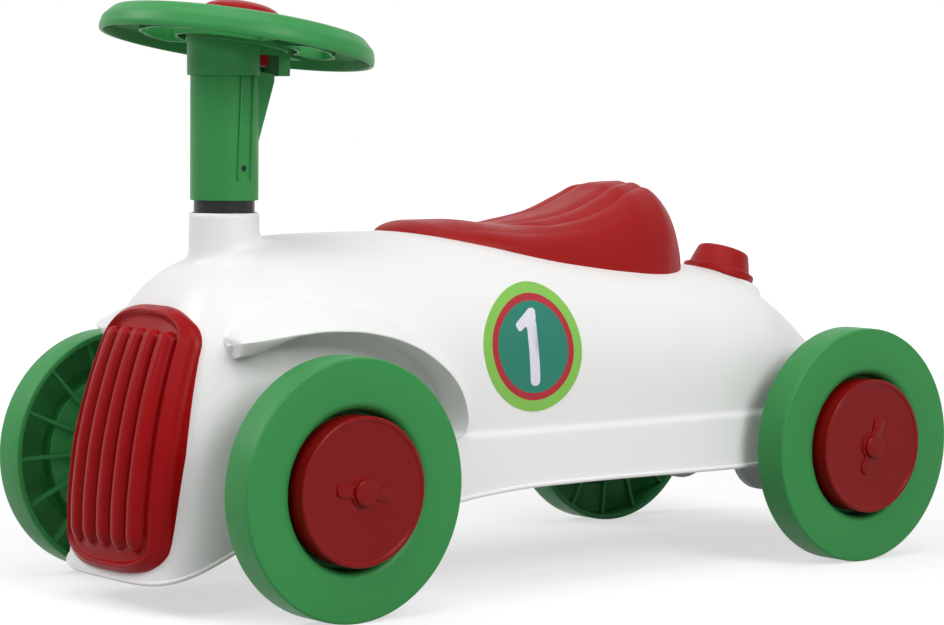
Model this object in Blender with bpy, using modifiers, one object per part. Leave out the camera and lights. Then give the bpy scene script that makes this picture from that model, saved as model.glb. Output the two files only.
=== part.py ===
"""Push car for a small child, built as an assembly of separate pieces.

The car stands on the floor at z = 0. Its front faces -Y and its left side faces +X.
The origin is on the floor, midway between the axles. All sizes are in metres.
"""

import math

import bmesh
import bpy
import numpy as np
from mathutils import Matrix, Vector

# Running gear
WHEELBASE = 0.4608
WHEEL_DIAMETER = 0.170
WHEEL_WIDTH = 0.0255
WHEEL_WALL = 0.0040
WHEEL_SHOULDER = 0.0045
WHEEL_OPENING_DIAMETER = 0.1056
WHEEL_WEB_DEPTH = 0.0150
WHEEL_WEB_THICKNESS = 0.0035
WHEEL_HUB_DIAMETER = 0.0240
WHEEL_HUB_INSET = 0.0020
WHEEL_INNER_RING_DIAMETER = 0.0800
WHEEL_RING_WALL = 0.0025
WHEEL_RING_BACK = 0.0010
WHEEL_RIB_COUNT = 15
WHEEL_RIB_THICKNESS = 0.0022
WHEEL_RIB_TURN = math.radians(5.0)
AXLE_DIAMETER = 0.0100
AXLE_END_PROUD = 0.0055
PUSH_NUT_DIAMETER = 0.0220
PUSH_NUT_THICKNESS = 0.0025
SPACER_DIAMETER = 0.0170

# Hub caps
CAP_DIAMETER = 0.0968
CAP_PROUD = 0.0075
CAP_WALL = 0.0028
CAP_SKIRT_DEPTH = 0.0170
CAP_LIP_WIDTH = 0.0034
CAP_LIP_DEPTH = 0.0010
CAP_BOSS_DIAMETER = 0.0190
CAP_BOSS_HEIGHT = 0.0022
CAP_LOBE_DIAMETER = 0.0100
CAP_LOBE_REACH = 0.0125
CAP_LATCH_COUNT = 3
CAP_LATCH_WIDTH = 0.0120
CAP_LATCH_THICKNESS = 0.0024
CAP_LATCH_RADIUS = 0.0330
CAP_LATCH_REACH = 0.0060
REAR_CAP_TURN = math.radians(60.0)

# Body
BODY_WIDTH = 0.2100
BODY_TO_WHEEL = 0.0200
BODY_WALL = 0.0030
BODY_FLARE = 0.0035
CREASE_STEP = 0.0022
CREASE_HEIGHT = 0.0240
WELL_WALL_X = 0.0790
WING_REACH = 0.1105
WING_THICKNESS = 0.0050
WING_ROOT_X = 0.0550
NECK_BASE_DIAMETER = 0.0510
NECK_TOP_DIAMETER = 0.0472
NECK_TOP_HEIGHT = 0.1717
PLINTH_DIAMETER = 0.0620
PLINTH_DEPTH = 0.0060
PLINTH_RISE = -0.0040
AXLE_SLOT_CLEARANCE = 0.0030
AXLE_SLOT_HEIGHT = 0.0270
AXLE_BOSS_DIAMETER = 0.0300
AXLE_BOSS_X = 0.1040

# Floor pan and its rear axle brackets
PAN_THICKNESS = 0.0030
PAN_HEIGHT = -0.0100
PAN_FRONT = 0.1270
PAN_REAR = 0.0300
BRACKET_X = 0.0450
BRACKET_THICKNESS = 0.0060
BRACKET_RADIUS = 0.0306
BRACKET_DROP = 0.0122
BRACKET_TOP = 0.0200

# Steering
STEERING_LOCK = math.radians(12.0)
TUBE_DIAMETER = 0.0408
TUBE_WALL = 0.0020
BUSH_WALL = 0.0010
BUSH_FLANGE = 0.0015
BUSH_FLANGE_DIAMETER = 0.0480
BUSH_LENGTH = 0.0240
CARRIER_HUB_DIAMETER = 0.0510
CARRIER_ARM_DIAMETER = 0.0200
CARRIER_FLOOR = 0.0140
CARRIER_HEIGHT = 0.0560
CROSS_PLATE_HEIGHT = 0.0660
CROSS_PLATE_THICKNESS = 0.0040
CROSS_PLATE_LENGTH = 0.0780
CROSS_PLATE_HALF_WIDTH = 0.0700
COLUMN_DIAMETER = 0.0456
COLUMN_BOTTOM = 0.1798
COLUMN_BORE_TOP = 0.2500
COLUMN_FLOOR = 0.0040
COLUMN_CUP_DIAMETER = 0.0340
WEDGE_HALF_WIDTH = 0.0135
WEDGE_START = 0.2200
WEDGE_FULL = 0.2590
WEDGE_REACH = 0.0318
COLUMN_RIB_TURNS = (math.radians(-8.0), math.radians(17.0))
COLUMN_RIB_PROUD = 0.0016
COLUMN_RIB_WIDTH = 0.0020
STEERING_TILT = math.radians(9.0)
STEERING_WHEEL_SHIFT = 0.0096
STEERING_WHEEL_HEIGHT = 0.2805
STEERING_WHEEL_DIAMETER = 0.1850
STEERING_RIM_HEIGHT = 0.0180
STEERING_RIM_WIDTH = 0.0270
STEERING_PLATE = 0.0030
STEERING_HUB_DIAMETER = 0.0690
STEERING_SPOKE_WIDTH = 0.0300
SLEEVE_DIAMETER = 0.0500
SLEEVE_BOTTOM = 0.2625
SLEEVE_HALF_WIDTH = 0.0165
SLEEVE_REACH = 0.0420
SLEEVE_WALL = 0.0018
WINDOW_WIDTH = 0.0180
WINDOW_HEIGHT = 0.0139
WINDOW_Y = 0.0233

# Horn
HORN_DIAMETER = 0.0520
HORN_TOP = 0.0318
HORN_SHOULDER = 0.0240
HORN_SKIRT = 0.0120
HORN_WALL = 0.0025
HORN_TRAVEL = 0.0030
HORN_LEG_X = 0.0115
HORN_LEG_WIDTH = 0.0040
HORN_LEG_FRONT = 0.0060
HORN_LEG_BACK = 0.0175
HORN_LEG_END = -0.0095
BELLOWS_DIAMETER = 0.0160
BELLOWS_NECK_DIAMETER = 0.0120
BELLOWS_FOLDS = 3
BELLOWS_SKIN = 0.0012
BELLOWS_FOOT = 0.0016

# Grille
GRILLE_BAR_COUNT = 5
GRILLE_BORDER = 0.0095
GRILLE_RECESS = 0.0035
GRILLE_DEPTH = 0.0300
GRILLE_LIP_Y = -0.0866
GRILLE_LIP_Z = -0.0520

# Seat
SEAT_WALL = 0.0030
SEAT_SINK = 0.0200

# Fuel cap
FUEL_CAP_Y = -0.0088
FUEL_FLANGE_DIAMETER = 0.0545
FUEL_FLANGE_THICKNESS = 0.0060
FUEL_BOSS_BASE_DIAMETER = 0.0450
FUEL_BOSS_TOP_DIAMETER = 0.0370
FUEL_BOSS_HEIGHT = 0.0225
FUEL_PLUG_DIAMETER = 0.0200
FUEL_BARB = 0.0010
FUEL_WALL = 0.0030

# Number roundel, a printed sticker
ROUNDEL_DIAMETER = 0.0870
ROUNDEL_LEAN = 0.0080
ROUNDEL_THICKNESS = 0.0006
ROUNDEL_Y = -0.0465
ROUNDEL_HEIGHT = 0.0803

# Fasteners
SCREW_DIAMETER = 0.0036
SCREW_HEAD_DIAMETER = 0.0074
SCREW_HEAD_HEIGHT = 0.0022
BOSS_DIAMETER = 0.0100
BOLT_DIAMETER = 0.0060
BOLT_HEAD_DIAMETER = 0.0110
BOLT_HEAD_HEIGHT = 0.0040

# Fits
TOUCH_GAP = 0.0003
RUNNING_GAP = 0.0004
SCREW_BITE = 0.0120

# Facet counts
WHEEL_SIDES = 24
ROUND_SIDES = 20
SMALL_SIDES = 8
SCREW_SIDES = 6
MERGE_DISTANCE = 0.00001

# Places that follow from the sizes above
AXLE_Z = WHEEL_DIAMETER / 2
FRONT_Y = -WHEELBASE / 2
REAR_Y = WHEELBASE / 2
BODY_X = BODY_WIDTH / 2
WHEEL_INNER_X = BODY_X + BODY_TO_WHEEL
WHEEL_OUTER_X = WHEEL_INNER_X + WHEEL_WIDTH
HUB_INNER_X = WHEEL_INNER_X - WHEEL_HUB_INSET
WEB_OUTER_X = WHEEL_OUTER_X - WHEEL_WEB_DEPTH
HUB_OUTER_X = WEB_OUTER_X + 0.0055
AXLE_BORE = AXLE_DIAMETER + 2 * TOUCH_GAP

# Body stations, from the lip under the grille over the hood and deck to the tail.
# Each is top y, top z, edge y, edge z, half width, roundness, shoulder share.
# Heights are above the axles. The nose is set from the front axle.
NOSE_STATIONS = (
    (-0.0906, -0.0665, -0.0316, -0.0415, 0.0750, 4.2, 0.97),
    (-0.0866, -0.0400, -0.0276, -0.0405, 0.0755, 4.2, 0.97),
    (-0.0796, 0.0050, -0.0196, -0.0400, 0.0760, 4.2, 0.97),
    (-0.0696, 0.0550, -0.0096, -0.0395, 0.0765, 4.2, 0.97),
    (-0.0576, 0.0970, 0.0024, -0.0410, 0.0775, 4.0, 0.95),
    (-0.0500, 0.1130, 0.0120, -0.0390, 0.0790, 3.6, 0.90),
    (-0.0376, 0.1285, 0.0190, -0.0380, 0.0810, 3.2, 0.85),
    (-0.0226, 0.1380, 0.0260, -0.0370, 0.0840, 2.9, 0.80),
    (-0.0046, 0.1455, 0.0340, -0.0360, 0.0870, 2.7, 0.75),
    (0.0304, 0.1540, 0.0480, -0.0340, 0.0940, 2.6, 0.68),
    (0.0654, 0.1562, 0.0740, -0.0290, 0.1000, 2.6, 0.66),
)
# The middle is set as shares of the wheelbase ahead of and behind the origin.
MIDDLE_STATIONS = (
    (-0.2150, 0.1566, -0.2150, -0.0180, 1.000, 2.6, 0.65),
    (-0.1000, 0.1530, -0.1000, -0.0145, 1.005, 2.6, 0.65),
    (0.0400, 0.1440, 0.0400, -0.0140, 1.005, 2.6, 0.65),
    (0.1800, 0.1370, 0.1800, -0.0145, 1.000, 2.6, 0.65),
    (0.3000, 0.1310, 0.3000, -0.0150, 0.985, 2.6, 0.65),
)
# The tail is set from the rear axle.
TAIL_STATIONS = (
    (-0.0404, 0.1270, -0.0404, -0.0140, 0.1000, 2.6, 0.65),
    (-0.0044, 0.1180, -0.0044, -0.0120, 0.0960, 2.5, 0.68),
    (0.0316, 0.1000, 0.0200, -0.0070, 0.0880, 2.4, 0.72),
    (0.0620, 0.0740, 0.0420, 0.0000, 0.0760, 2.2, 0.80),
    (0.0850, 0.0500, 0.0610, 0.0060, 0.0620, 2.1, 0.90),
    (0.0966, 0.0310, 0.0740, 0.0110, 0.0500, 2.1, 0.97),
    (0.1011, 0.0150, 0.0800, 0.0130, 0.0430, 2.1, 0.97),
)
# Outer edge of the wing over the front wheel, as x, y from the axle and z above it,
# then the y and z of its root inside the body.
WING_STATIONS = (
    (0.0720, -0.0459, 0.0870, -0.0450, 0.0880),
    (0.0860, -0.0450, 0.0890, -0.0430, 0.0920),
    (0.0960, -0.0405, 0.0918, -0.0380, 0.1000),
    (0.1040, -0.0300, 0.0942, -0.0250, 0.1080),
    (0.1090, -0.0120, 0.0962, -0.0100, 0.1140),
    (0.1105, 0.0072, 0.0976, 0.0080, 0.1170),
    (0.1105, 0.0309, 0.0973, 0.0310, 0.1185),
    (0.1105, 0.0553, 0.0931, 0.0560, 0.1160),
    (0.1105, 0.0802, 0.0821, 0.0830, 0.1090),
    (0.1105, 0.0971, 0.0695, 0.1020, 0.0970),
    (0.1105, 0.1100, 0.0535, 0.1170, 0.0780),
    (0.1105, 0.1187, 0.0383, 0.1270, 0.0540),
    (0.1100, 0.1209, 0.0268, 0.1300, 0.0300),
)
# Seat stations along its top ridge: top y, top z, edge y, half width, roundness.
# The y values are from the origin and the heights are above the axles.
SEAT_STATIONS = (
    (-0.0960, 0.1500, -0.0900, 0.0160, 2.2),
    (-0.0920, 0.1585, -0.0800, 0.0290, 2.2),
    (-0.0740, 0.1640, -0.0680, 0.0395, 2.2),
    (-0.0420, 0.1640, -0.0440, 0.0505, 2.4),
    (-0.0080, 0.1614, -0.0150, 0.0575, 2.8),
    (0.0480, 0.1690, 0.0300, 0.0620, 2.6),
    (0.0850, 0.1815, 0.0640, 0.0640, 2.3),
    (0.1000, 0.1874, 0.0850, 0.0640, 2.2),
    (0.1200, 0.1890, 0.1090, 0.0620, 2.2),
    (0.1345, 0.1830, 0.1280, 0.0560, 2.2),
    (0.1440, 0.1640, 0.1430, 0.0450, 2.2),
    (0.1500, 0.1230, 0.1520, 0.0310, 2.2),
)
# Front line of the grille from bottom to top: y from the front axle, z above it,
# half width and roundness.
GRILLE_STATIONS = (
    (-0.0890, -0.0640, 0.0340, 3.0),
    (-0.0935, -0.0600, 0.0470, 4.0),
    (-0.0955, -0.0450, 0.0570, 4.5),
    (-0.0951, -0.0210, 0.0600, 4.5),
    (-0.0910, 0.0160, 0.0600, 4.5),
    (-0.0873, 0.0350, 0.0590, 4.5),
    (-0.0822, 0.0550, 0.0575, 4.5),
    (-0.0726, 0.0840, 0.0545, 4.5),
    (-0.0665, 0.0980, 0.0515, 4.2),
    (-0.0600, 0.1085, 0.0450, 3.6),
    (-0.0550, 0.1125, 0.0330, 3.0),
)


def clear_scene():
    """Removes every object that the file starts with."""
    for item in list(bpy.data.objects):
        bpy.data.objects.remove(item, do_unlink=True)


def make_collection(name):
    group = bpy.data.collections.new(name)
    bpy.context.scene.collection.children.link(group)
    return group


def make_material(name, colour, roughness, metallic=0.0):
    finish = bpy.data.materials.new(name)
    finish.use_nodes = True
    shader = finish.node_tree.nodes["Principled BSDF"]
    shader.inputs["Base Color"].default_value = (*colour, 1.0)
    shader.inputs["Roughness"].default_value = roughness
    shader.inputs["Metallic"].default_value = metallic
    finish.diffuse_color = (*colour, 1.0)
    return finish


clear_scene()
PARTS = make_collection("push_car")
CUTTERS = make_collection("cutters")

WHITE = (0.88, 0.88, 0.87)
GREEN = (0.05, 0.42, 0.10)
RED = (0.40, 0.012, 0.018)
LIME = (0.21, 0.52, 0.07)
BLACK = (0.012, 0.012, 0.013)
GREY = (0.60, 0.61, 0.61)
STEEL = (0.62, 0.62, 0.63)


# Helpers for shapes


def interpolate(stations, count):
    """Smooth rows through the stations, with count rows to each span."""
    table = np.array(stations, dtype=float)
    steps = np.diff(table, axis=0)
    slopes = np.zeros_like(table)
    slopes[0] = steps[0]
    slopes[-1] = steps[-1]
    same_way = steps[1:] * steps[:-1] > 0
    total = np.where(same_way, steps[1:] + steps[:-1], 1.0)
    slopes[1:-1] = np.where(same_way, 2 * steps[1:] * steps[:-1] / total, 0.0)
    rows = []
    for span in range(len(table) - 1):
        for step in range(count):
            rows.append(blend_row(table, slopes, span, step / count))
    rows.append(table[-1])
    return np.array(rows)


def blend_row(table, slopes, span, t):
    """One cubic Hermite row inside a span."""
    start = (1 + 2 * t) * (1 - t) ** 2 * table[span] + t * (1 - t) ** 2 * slopes[span]
    end = t * t * (3 - 2 * t) * table[span + 1] - t * t * (1 - t) * slopes[span + 1]
    return start + end


def outward(rows):
    """Unit normals of the top line, in the y-z plane, pointing out of the body."""
    tangent = np.gradient(rows[:, :2], axis=0)
    normal = np.stack([-tangent[:, 1], tangent[:, 0]], axis=1)
    return normal / np.linalg.norm(normal, axis=1, keepdims=True)


def section_shares(roundness, count):
    """Width share and depth share of each point from the crown to the side."""
    angles = np.linspace(0.0, math.pi / 2, count)
    width = np.sin(angles) ** (2 / roundness)
    depth = 1 - np.cos(angles) ** (2 / roundness)
    depth[-1] = 1.0
    return width, depth


def link_object(name, mesh, group):
    thing = bpy.data.objects.new(name, mesh)
    group.objects.link(thing)
    if group is CUTTERS:
        thing.hide_render = True
        thing.display_type = "WIRE"
    return thing


def object_from_bmesh(name, work, group=None):
    bmesh.ops.recalc_face_normals(work, faces=work.faces)
    mesh = bpy.data.meshes.new(name)
    work.to_mesh(mesh)
    work.free()
    return link_object(name, mesh, group or CUTTERS)


def mirrored_loft(name, sections):
    """Closed solid through half sections that run from x = 0 to the side edge."""
    work = bmesh.new()
    left = []
    right = []
    for points in sections:
        line = [work.verts.new(point) for point in points]
        twin = [line[0]] + [work.verts.new((-x, y, z)) for x, y, z in points[1:]]
        left.append(line)
        right.append(twin)
    for side in (left, right):
        for row, following in zip(side, side[1:]):
            for k in range(len(row) - 1):
                work.faces.new((row[k], row[k + 1], following[k + 1]))
                work.faces.new((row[k], following[k + 1], following[k]))
    for k in range(len(left) - 1):
        work.faces.new((left[k][-1], right[k][-1], right[k + 1][-1], left[k + 1][-1]))
    for line, twin in ((left[0], right[0]), (left[-1], right[-1])):
        work.faces.new(line + twin[:0:-1])
    return object_from_bmesh(name, work)


def ring_loft(name, rings):
    """Closed solid through rings of equal point count, with flat ends."""
    work = bmesh.new()
    loops = [[work.verts.new(point) for point in ring] for ring in rings]
    for loop, following in zip(loops, loops[1:]):
        for k in range(len(loop)):
            n = (k + 1) % len(loop)
            work.faces.new((loop[k], loop[n], following[n], following[k]))
    work.faces.new(loops[0])
    work.faces.new(loops[-1])
    return object_from_bmesh(name, work)


def box(name, low, high):
    """Box between two corners."""
    work = bmesh.new()
    bmesh.ops.create_cube(work, size=1.0)
    size = Vector(high) - Vector(low)
    middle = (Vector(high) + Vector(low)) / 2
    bmesh.ops.transform(work, matrix=Matrix.LocRotScale(middle, None, size), verts=work.verts)
    return object_from_bmesh(name, work)


def rod(name, start, end, diameter, sides=ROUND_SIDES, end_diameter=None):
    """Cylinder or cone from start to end."""
    start = Vector(start)
    run = Vector(end) - start
    turn = run.to_track_quat("Z", "Y").to_matrix().to_4x4()
    work = bmesh.new()
    top = (diameter if end_diameter is None else end_diameter) / 2
    bmesh.ops.create_cone(
        work, cap_ends=True, segments=sides, radius1=diameter / 2, radius2=top, depth=run.length
    )
    place = Matrix.Translation(start + run / 2) @ turn
    bmesh.ops.transform(work, matrix=place, verts=work.verts)
    return object_from_bmesh(name, work)


def turned(name, profile, place, sides=ROUND_SIDES, closed=False):
    """Turned solid: a profile of radius and height, listed down its outer side."""
    count = len(profile)
    edges = [(k, k + 1) for k in range(count - 1)]
    if closed:
        edges.append((count - 1, 0))
    mesh = bpy.data.meshes.new(name)
    mesh.from_pydata([(radius, 0.0, height) for radius, height in profile], edges, [])
    thing = link_object(name, mesh, CUTTERS)
    screw = thing.modifiers.new("turn", "SCREW")
    screw.steps = sides
    screw.render_steps = sides
    screw.use_merge_vertices = True
    screw.merge_threshold = 0.00001
    thing.matrix_world = place
    return settle(thing)


def plate(name, outline, thickness, place):
    """Flat plate with a drawn outline, its middle plane on the place's x-y plane."""
    curve = bpy.data.curves.new(name, "CURVE")
    curve.dimensions = "2D"
    curve.fill_mode = "BOTH"
    curve.extrude = thickness / 2
    spline = curve.splines.new("POLY")
    spline.points.add(len(outline) - 1)
    for point, (u, v) in zip(spline.points, outline):
        point.co = (u, v, 0.0, 1.0)
    spline.use_cyclic_u = True
    drawn = bpy.data.objects.new(name, curve)
    CUTTERS.objects.link(drawn)
    mesh = evaluated_mesh(drawn)
    bpy.data.objects.remove(drawn, do_unlink=True)
    work = bmesh.new()
    work.from_mesh(mesh)
    bmesh.ops.remove_doubles(work, verts=work.verts, dist=0.00001)
    bmesh.ops.transform(work, matrix=place, verts=work.verts)
    return object_from_bmesh(name, work)


def evaluated_mesh(thing):
    bpy.context.view_layer.update()
    graph = bpy.context.evaluated_depsgraph_get()
    return bpy.data.meshes.new_from_object(thing.evaluated_get(graph))


def settle(thing):
    """Turns an object's modifiers into its mesh, in world coordinates."""
    mesh = evaluated_mesh(thing)
    mesh.transform(thing.matrix_world)
    name = thing.name
    group = thing.users_collection[0]
    bpy.data.objects.remove(thing, do_unlink=True)
    work = bmesh.new()
    work.from_mesh(mesh)
    bpy.data.meshes.remove(mesh)
    bmesh.ops.remove_doubles(work, verts=work.verts, dist=MERGE_DISTANCE)
    return object_from_bmesh(name, work, group)


def combine(thing, others, operation):
    """Cuts or joins the other objects into this one."""
    for other in others:
        step = thing.modifiers.new(operation.lower(), "BOOLEAN")
        step.operation = operation
        step.object = other
    return settle(thing)


def cut(thing, *others):
    return combine(thing, others, "DIFFERENCE")


def join(thing, *others):
    return combine(thing, others, "UNION")


def trim(thing, *others):
    return combine(thing, others, "INTERSECT")


# Frames that the pieces hang on, with each joint's axis through its frame's origin


def make_frame(name, world, parent=None):
    frame = bpy.data.objects.new(name, None)
    frame.empty_display_size = 0.03
    PARTS.objects.link(frame)
    if parent is not None:
        frame.parent = parent
        frame.matrix_basis = parent_matrix(parent).inverted() @ world
    else:
        frame.matrix_basis = world
    return frame


def parent_matrix(frame):
    if frame.parent is None:
        return frame.matrix_basis.copy()
    return parent_matrix(frame.parent) @ frame.matrix_basis


def tidy_mesh(thing):
    """Merges the flat slivers that joins and cuts leave, where the surface stays closed."""
    for angle in (math.radians(1.0), math.radians(0.3), 0.0):
        work = bmesh.new()
        work.from_mesh(thing.data)
        bmesh.ops.remove_doubles(work, verts=work.verts, dist=MERGE_DISTANCE)
        if angle > 0:
            bmesh.ops.dissolve_limit(
                work, angle_limit=angle, verts=work.verts, edges=work.edges, delimit=set()
            )
        bmesh.ops.triangulate(work, faces=work.faces)
        closed = all(len(edge.link_faces) == 2 for edge in work.edges)
        if closed or angle == 0:
            work.to_mesh(thing.data)
            work.free()
            return thing.data
        work.free()


def add_part(name, thing, finish, frame):
    """Moves a world-space solid onto its frame, under its own name and material."""
    mesh = tidy_mesh(thing)
    mesh.transform(parent_matrix(frame).inverted())
    mesh.shade_smooth()
    mesh.set_sharp_from_angle(angle=math.radians(32.0))
    mesh.materials.clear()
    mesh.materials.append(finish)
    bpy.data.objects.remove(thing, do_unlink=True)
    mesh.name = name
    part = link_object(name, mesh, PARTS)
    part.parent = frame
    return part


TILT = Matrix.Rotation(-STEERING_TILT, 4, "X")
WHEEL_PLANE = Matrix.Translation(
    (0.0, FRONT_Y + STEERING_WHEEL_SHIFT, AXLE_Z + STEERING_WHEEL_HEIGHT)
) @ TILT
CHASSIS = make_frame("chassis_frame", Matrix.Identity(4))
STEERING = make_frame("steering_axis", Matrix.Translation((0.0, FRONT_Y, 0.0)))
HORN = make_frame("horn_axis", WHEEL_PLANE, STEERING)


# Body


def body_stations():
    """All stations in the car's own coordinates."""
    rows = []
    for top_y, top_z, edge_y, edge_z, width, roundness, shoulder in NOSE_STATIONS:
        rows.append((FRONT_Y + top_y, top_z, FRONT_Y + edge_y, edge_z, width, roundness, shoulder))
    for top_y, top_z, edge_y, edge_z, share, roundness, shoulder in MIDDLE_STATIONS:
        width = BODY_X * share
        rows.append(
            (WHEELBASE * top_y, top_z, WHEELBASE * edge_y, edge_z, width, roundness, shoulder)
        )
    for top_y, top_z, edge_y, edge_z, width, roundness, shoulder in TAIL_STATIONS:
        rows.append((REAR_Y + top_y, top_z, REAR_Y + edge_y, edge_z, width, roundness, shoulder))
    table = np.array(rows)
    table[:, [1, 3]] += AXLE_Z
    return table


def band_offset(y, z, edge_z):
    """How far the side stands out below its crease line."""
    start = FRONT_Y + 0.100
    presence = min(max((y - start) / 0.015, 0.0), 1.0)
    crease = AXLE_Z + CREASE_HEIGHT
    below = min(max((crease - z) / 0.003 + 0.5, 0.0), 1.0)
    depth = min(max((crease - z) / max(crease - edge_z, 0.01), 0.0), 1.0)
    return presence * (CREASE_STEP * below + BODY_FLARE * depth)


def body_section(row, shares, lower_rows, plain):
    """Half section of the body at one station row."""
    top_y, top_z, edge_y, edge_z, width, roundness, shoulder = row
    width_share, depth_share = section_shares(roundness, shares)
    marks = [(share, w) for share, w in zip(depth_share * shoulder, width_share)]
    crease_share = (top_z - AXLE_Z - CREASE_HEIGHT) / (top_z - edge_z)
    crease_share = min(max(crease_share, shoulder + 0.02), 0.90)
    run = math.hypot(top_y - edge_y, top_z - edge_z)
    if lower_rows:
        half_step = 0.0015 / run
        for share in (crease_share - half_step, crease_share + half_step):
            marks.append((share, 1.0))
    marks.append((1.0, 1.0))
    points = []
    for share, w in sorted(marks):
        y = top_y + share * (edge_y - top_y)
        z = top_z + share * (edge_z - top_z)
        x = width * w
        if w > 0.9 and not plain:
            x += band_offset(y, z, edge_z)
        points.append((x, y, z))
    return points


def body_solid(name, grow, samples, shares, lower_rows=False, extend=0.0):
    """The body's outer form, grown or shrunk by an even amount, and open or closed."""
    rows = interpolate(body_stations(), samples)
    normal = outward(rows)
    rows[:, :2] += grow * normal
    rows[:, 4] += grow
    rows[:, 3] -= extend
    rows[0, 1] -= extend
    rows[-1, 1] -= extend
    plain = not lower_rows
    sections = [body_section(row, shares, lower_rows, plain) for row in rows]
    return mirrored_loft(name, sections)


def body_top(y):
    """Height of the body's centreline at a given y."""
    rows = interpolate(body_stations(), 6)
    return float(np.interp(y, rows[:, 0], rows[:, 1]))


def side_of(side):
    return 1.0 if side == "left" else -1.0


def wing_rings(side, under):
    """Rings of the wing over one front wheel, from its tip to its rear end."""
    rings = []
    centre = Vector((FRONT_Y, AXLE_Z))
    for edge_x, edge_y, edge_z, root_y, root_z in interpolate(WING_STATIONS, 1):
        edge_x = edge_x - 0.1105 + WING_REACH
        low = Vector((FRONT_Y + edge_y, AXLE_Z + edge_z))
        root = Vector((FRONT_Y + root_y, AXLE_Z + root_z))
        edge = low - (centre - low).normalized() * under
        ring = []
        for share in (0.0, 0.3, 0.55, 0.75, 0.9, 1.0):
            x = WING_ROOT_X + share * (edge_x - WING_ROOT_X)
            spot = edge.lerp(root, 1 - share**2)
            ring.append((side * x, spot.x, spot.y))
        nose = edge.lerp(low, 0.5)
        ring.append((side * (edge_x + under * 0.3), nose.x, nose.y))
        ring.append((side * edge_x, low.x, low.y))
        ring.append((side * WING_ROOT_X, low.x, low.y))
        rings.append(ring)
    return rings


def well_prism(name, side, inner_x, over):
    """Space of one wheel well, bounded above by the underside of the wing."""
    centre = Vector((FRONT_Y, AXLE_Z))
    outline = []
    for _, edge_y, edge_z, _, _ in interpolate(WING_STATIONS, 1):
        low = Vector((FRONT_Y + edge_y, AXLE_Z + edge_z))
        roof = low - (centre - low).normalized() * over
        outline.append((roof.x, roof.y))
    rear = outline[-1][0]
    front = outline[0][0]
    outline.append((rear, -0.02))
    outline.append((front - 0.08, -0.02))
    outline.append((front - 0.08, outline[0][1]))
    width = 0.12
    middle = side * (inner_x + width / 2)
    axes = Matrix(((0, 0, 1, middle), (1, 0, 0, 0), (0, 1, 0, 0), (0, 0, 0, 1)))
    return plate(name, outline, width, axes)


def fuel_place():
    """Frame of the fuel cap: its base centre on the plinth, tilted with the deck."""
    y = REAR_Y + FUEL_CAP_Y
    lean = math.atan((body_top(y + 0.03) - body_top(y - 0.035)) / 0.065)
    height = body_top(y) + PLINTH_RISE
    return Matrix.Translation((0.0, y, height)) @ Matrix.Rotation(lean, 4, "X")


SEAT_SCREW_Y = (-0.0300, 0.1000)
CROSS_SCREW_X = 0.0560
GRILLE_SCREW_Z = (-0.0250, 0.0600)


def pan_screw_spots():
    """Places of the four screws that hold the floor pan."""
    spots = []
    for y in (FRONT_Y + PAN_FRONT + 0.022, REAR_Y - 0.060):
        for x in (-0.078, 0.078):
            spots.append((x, y))
    return spots


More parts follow.
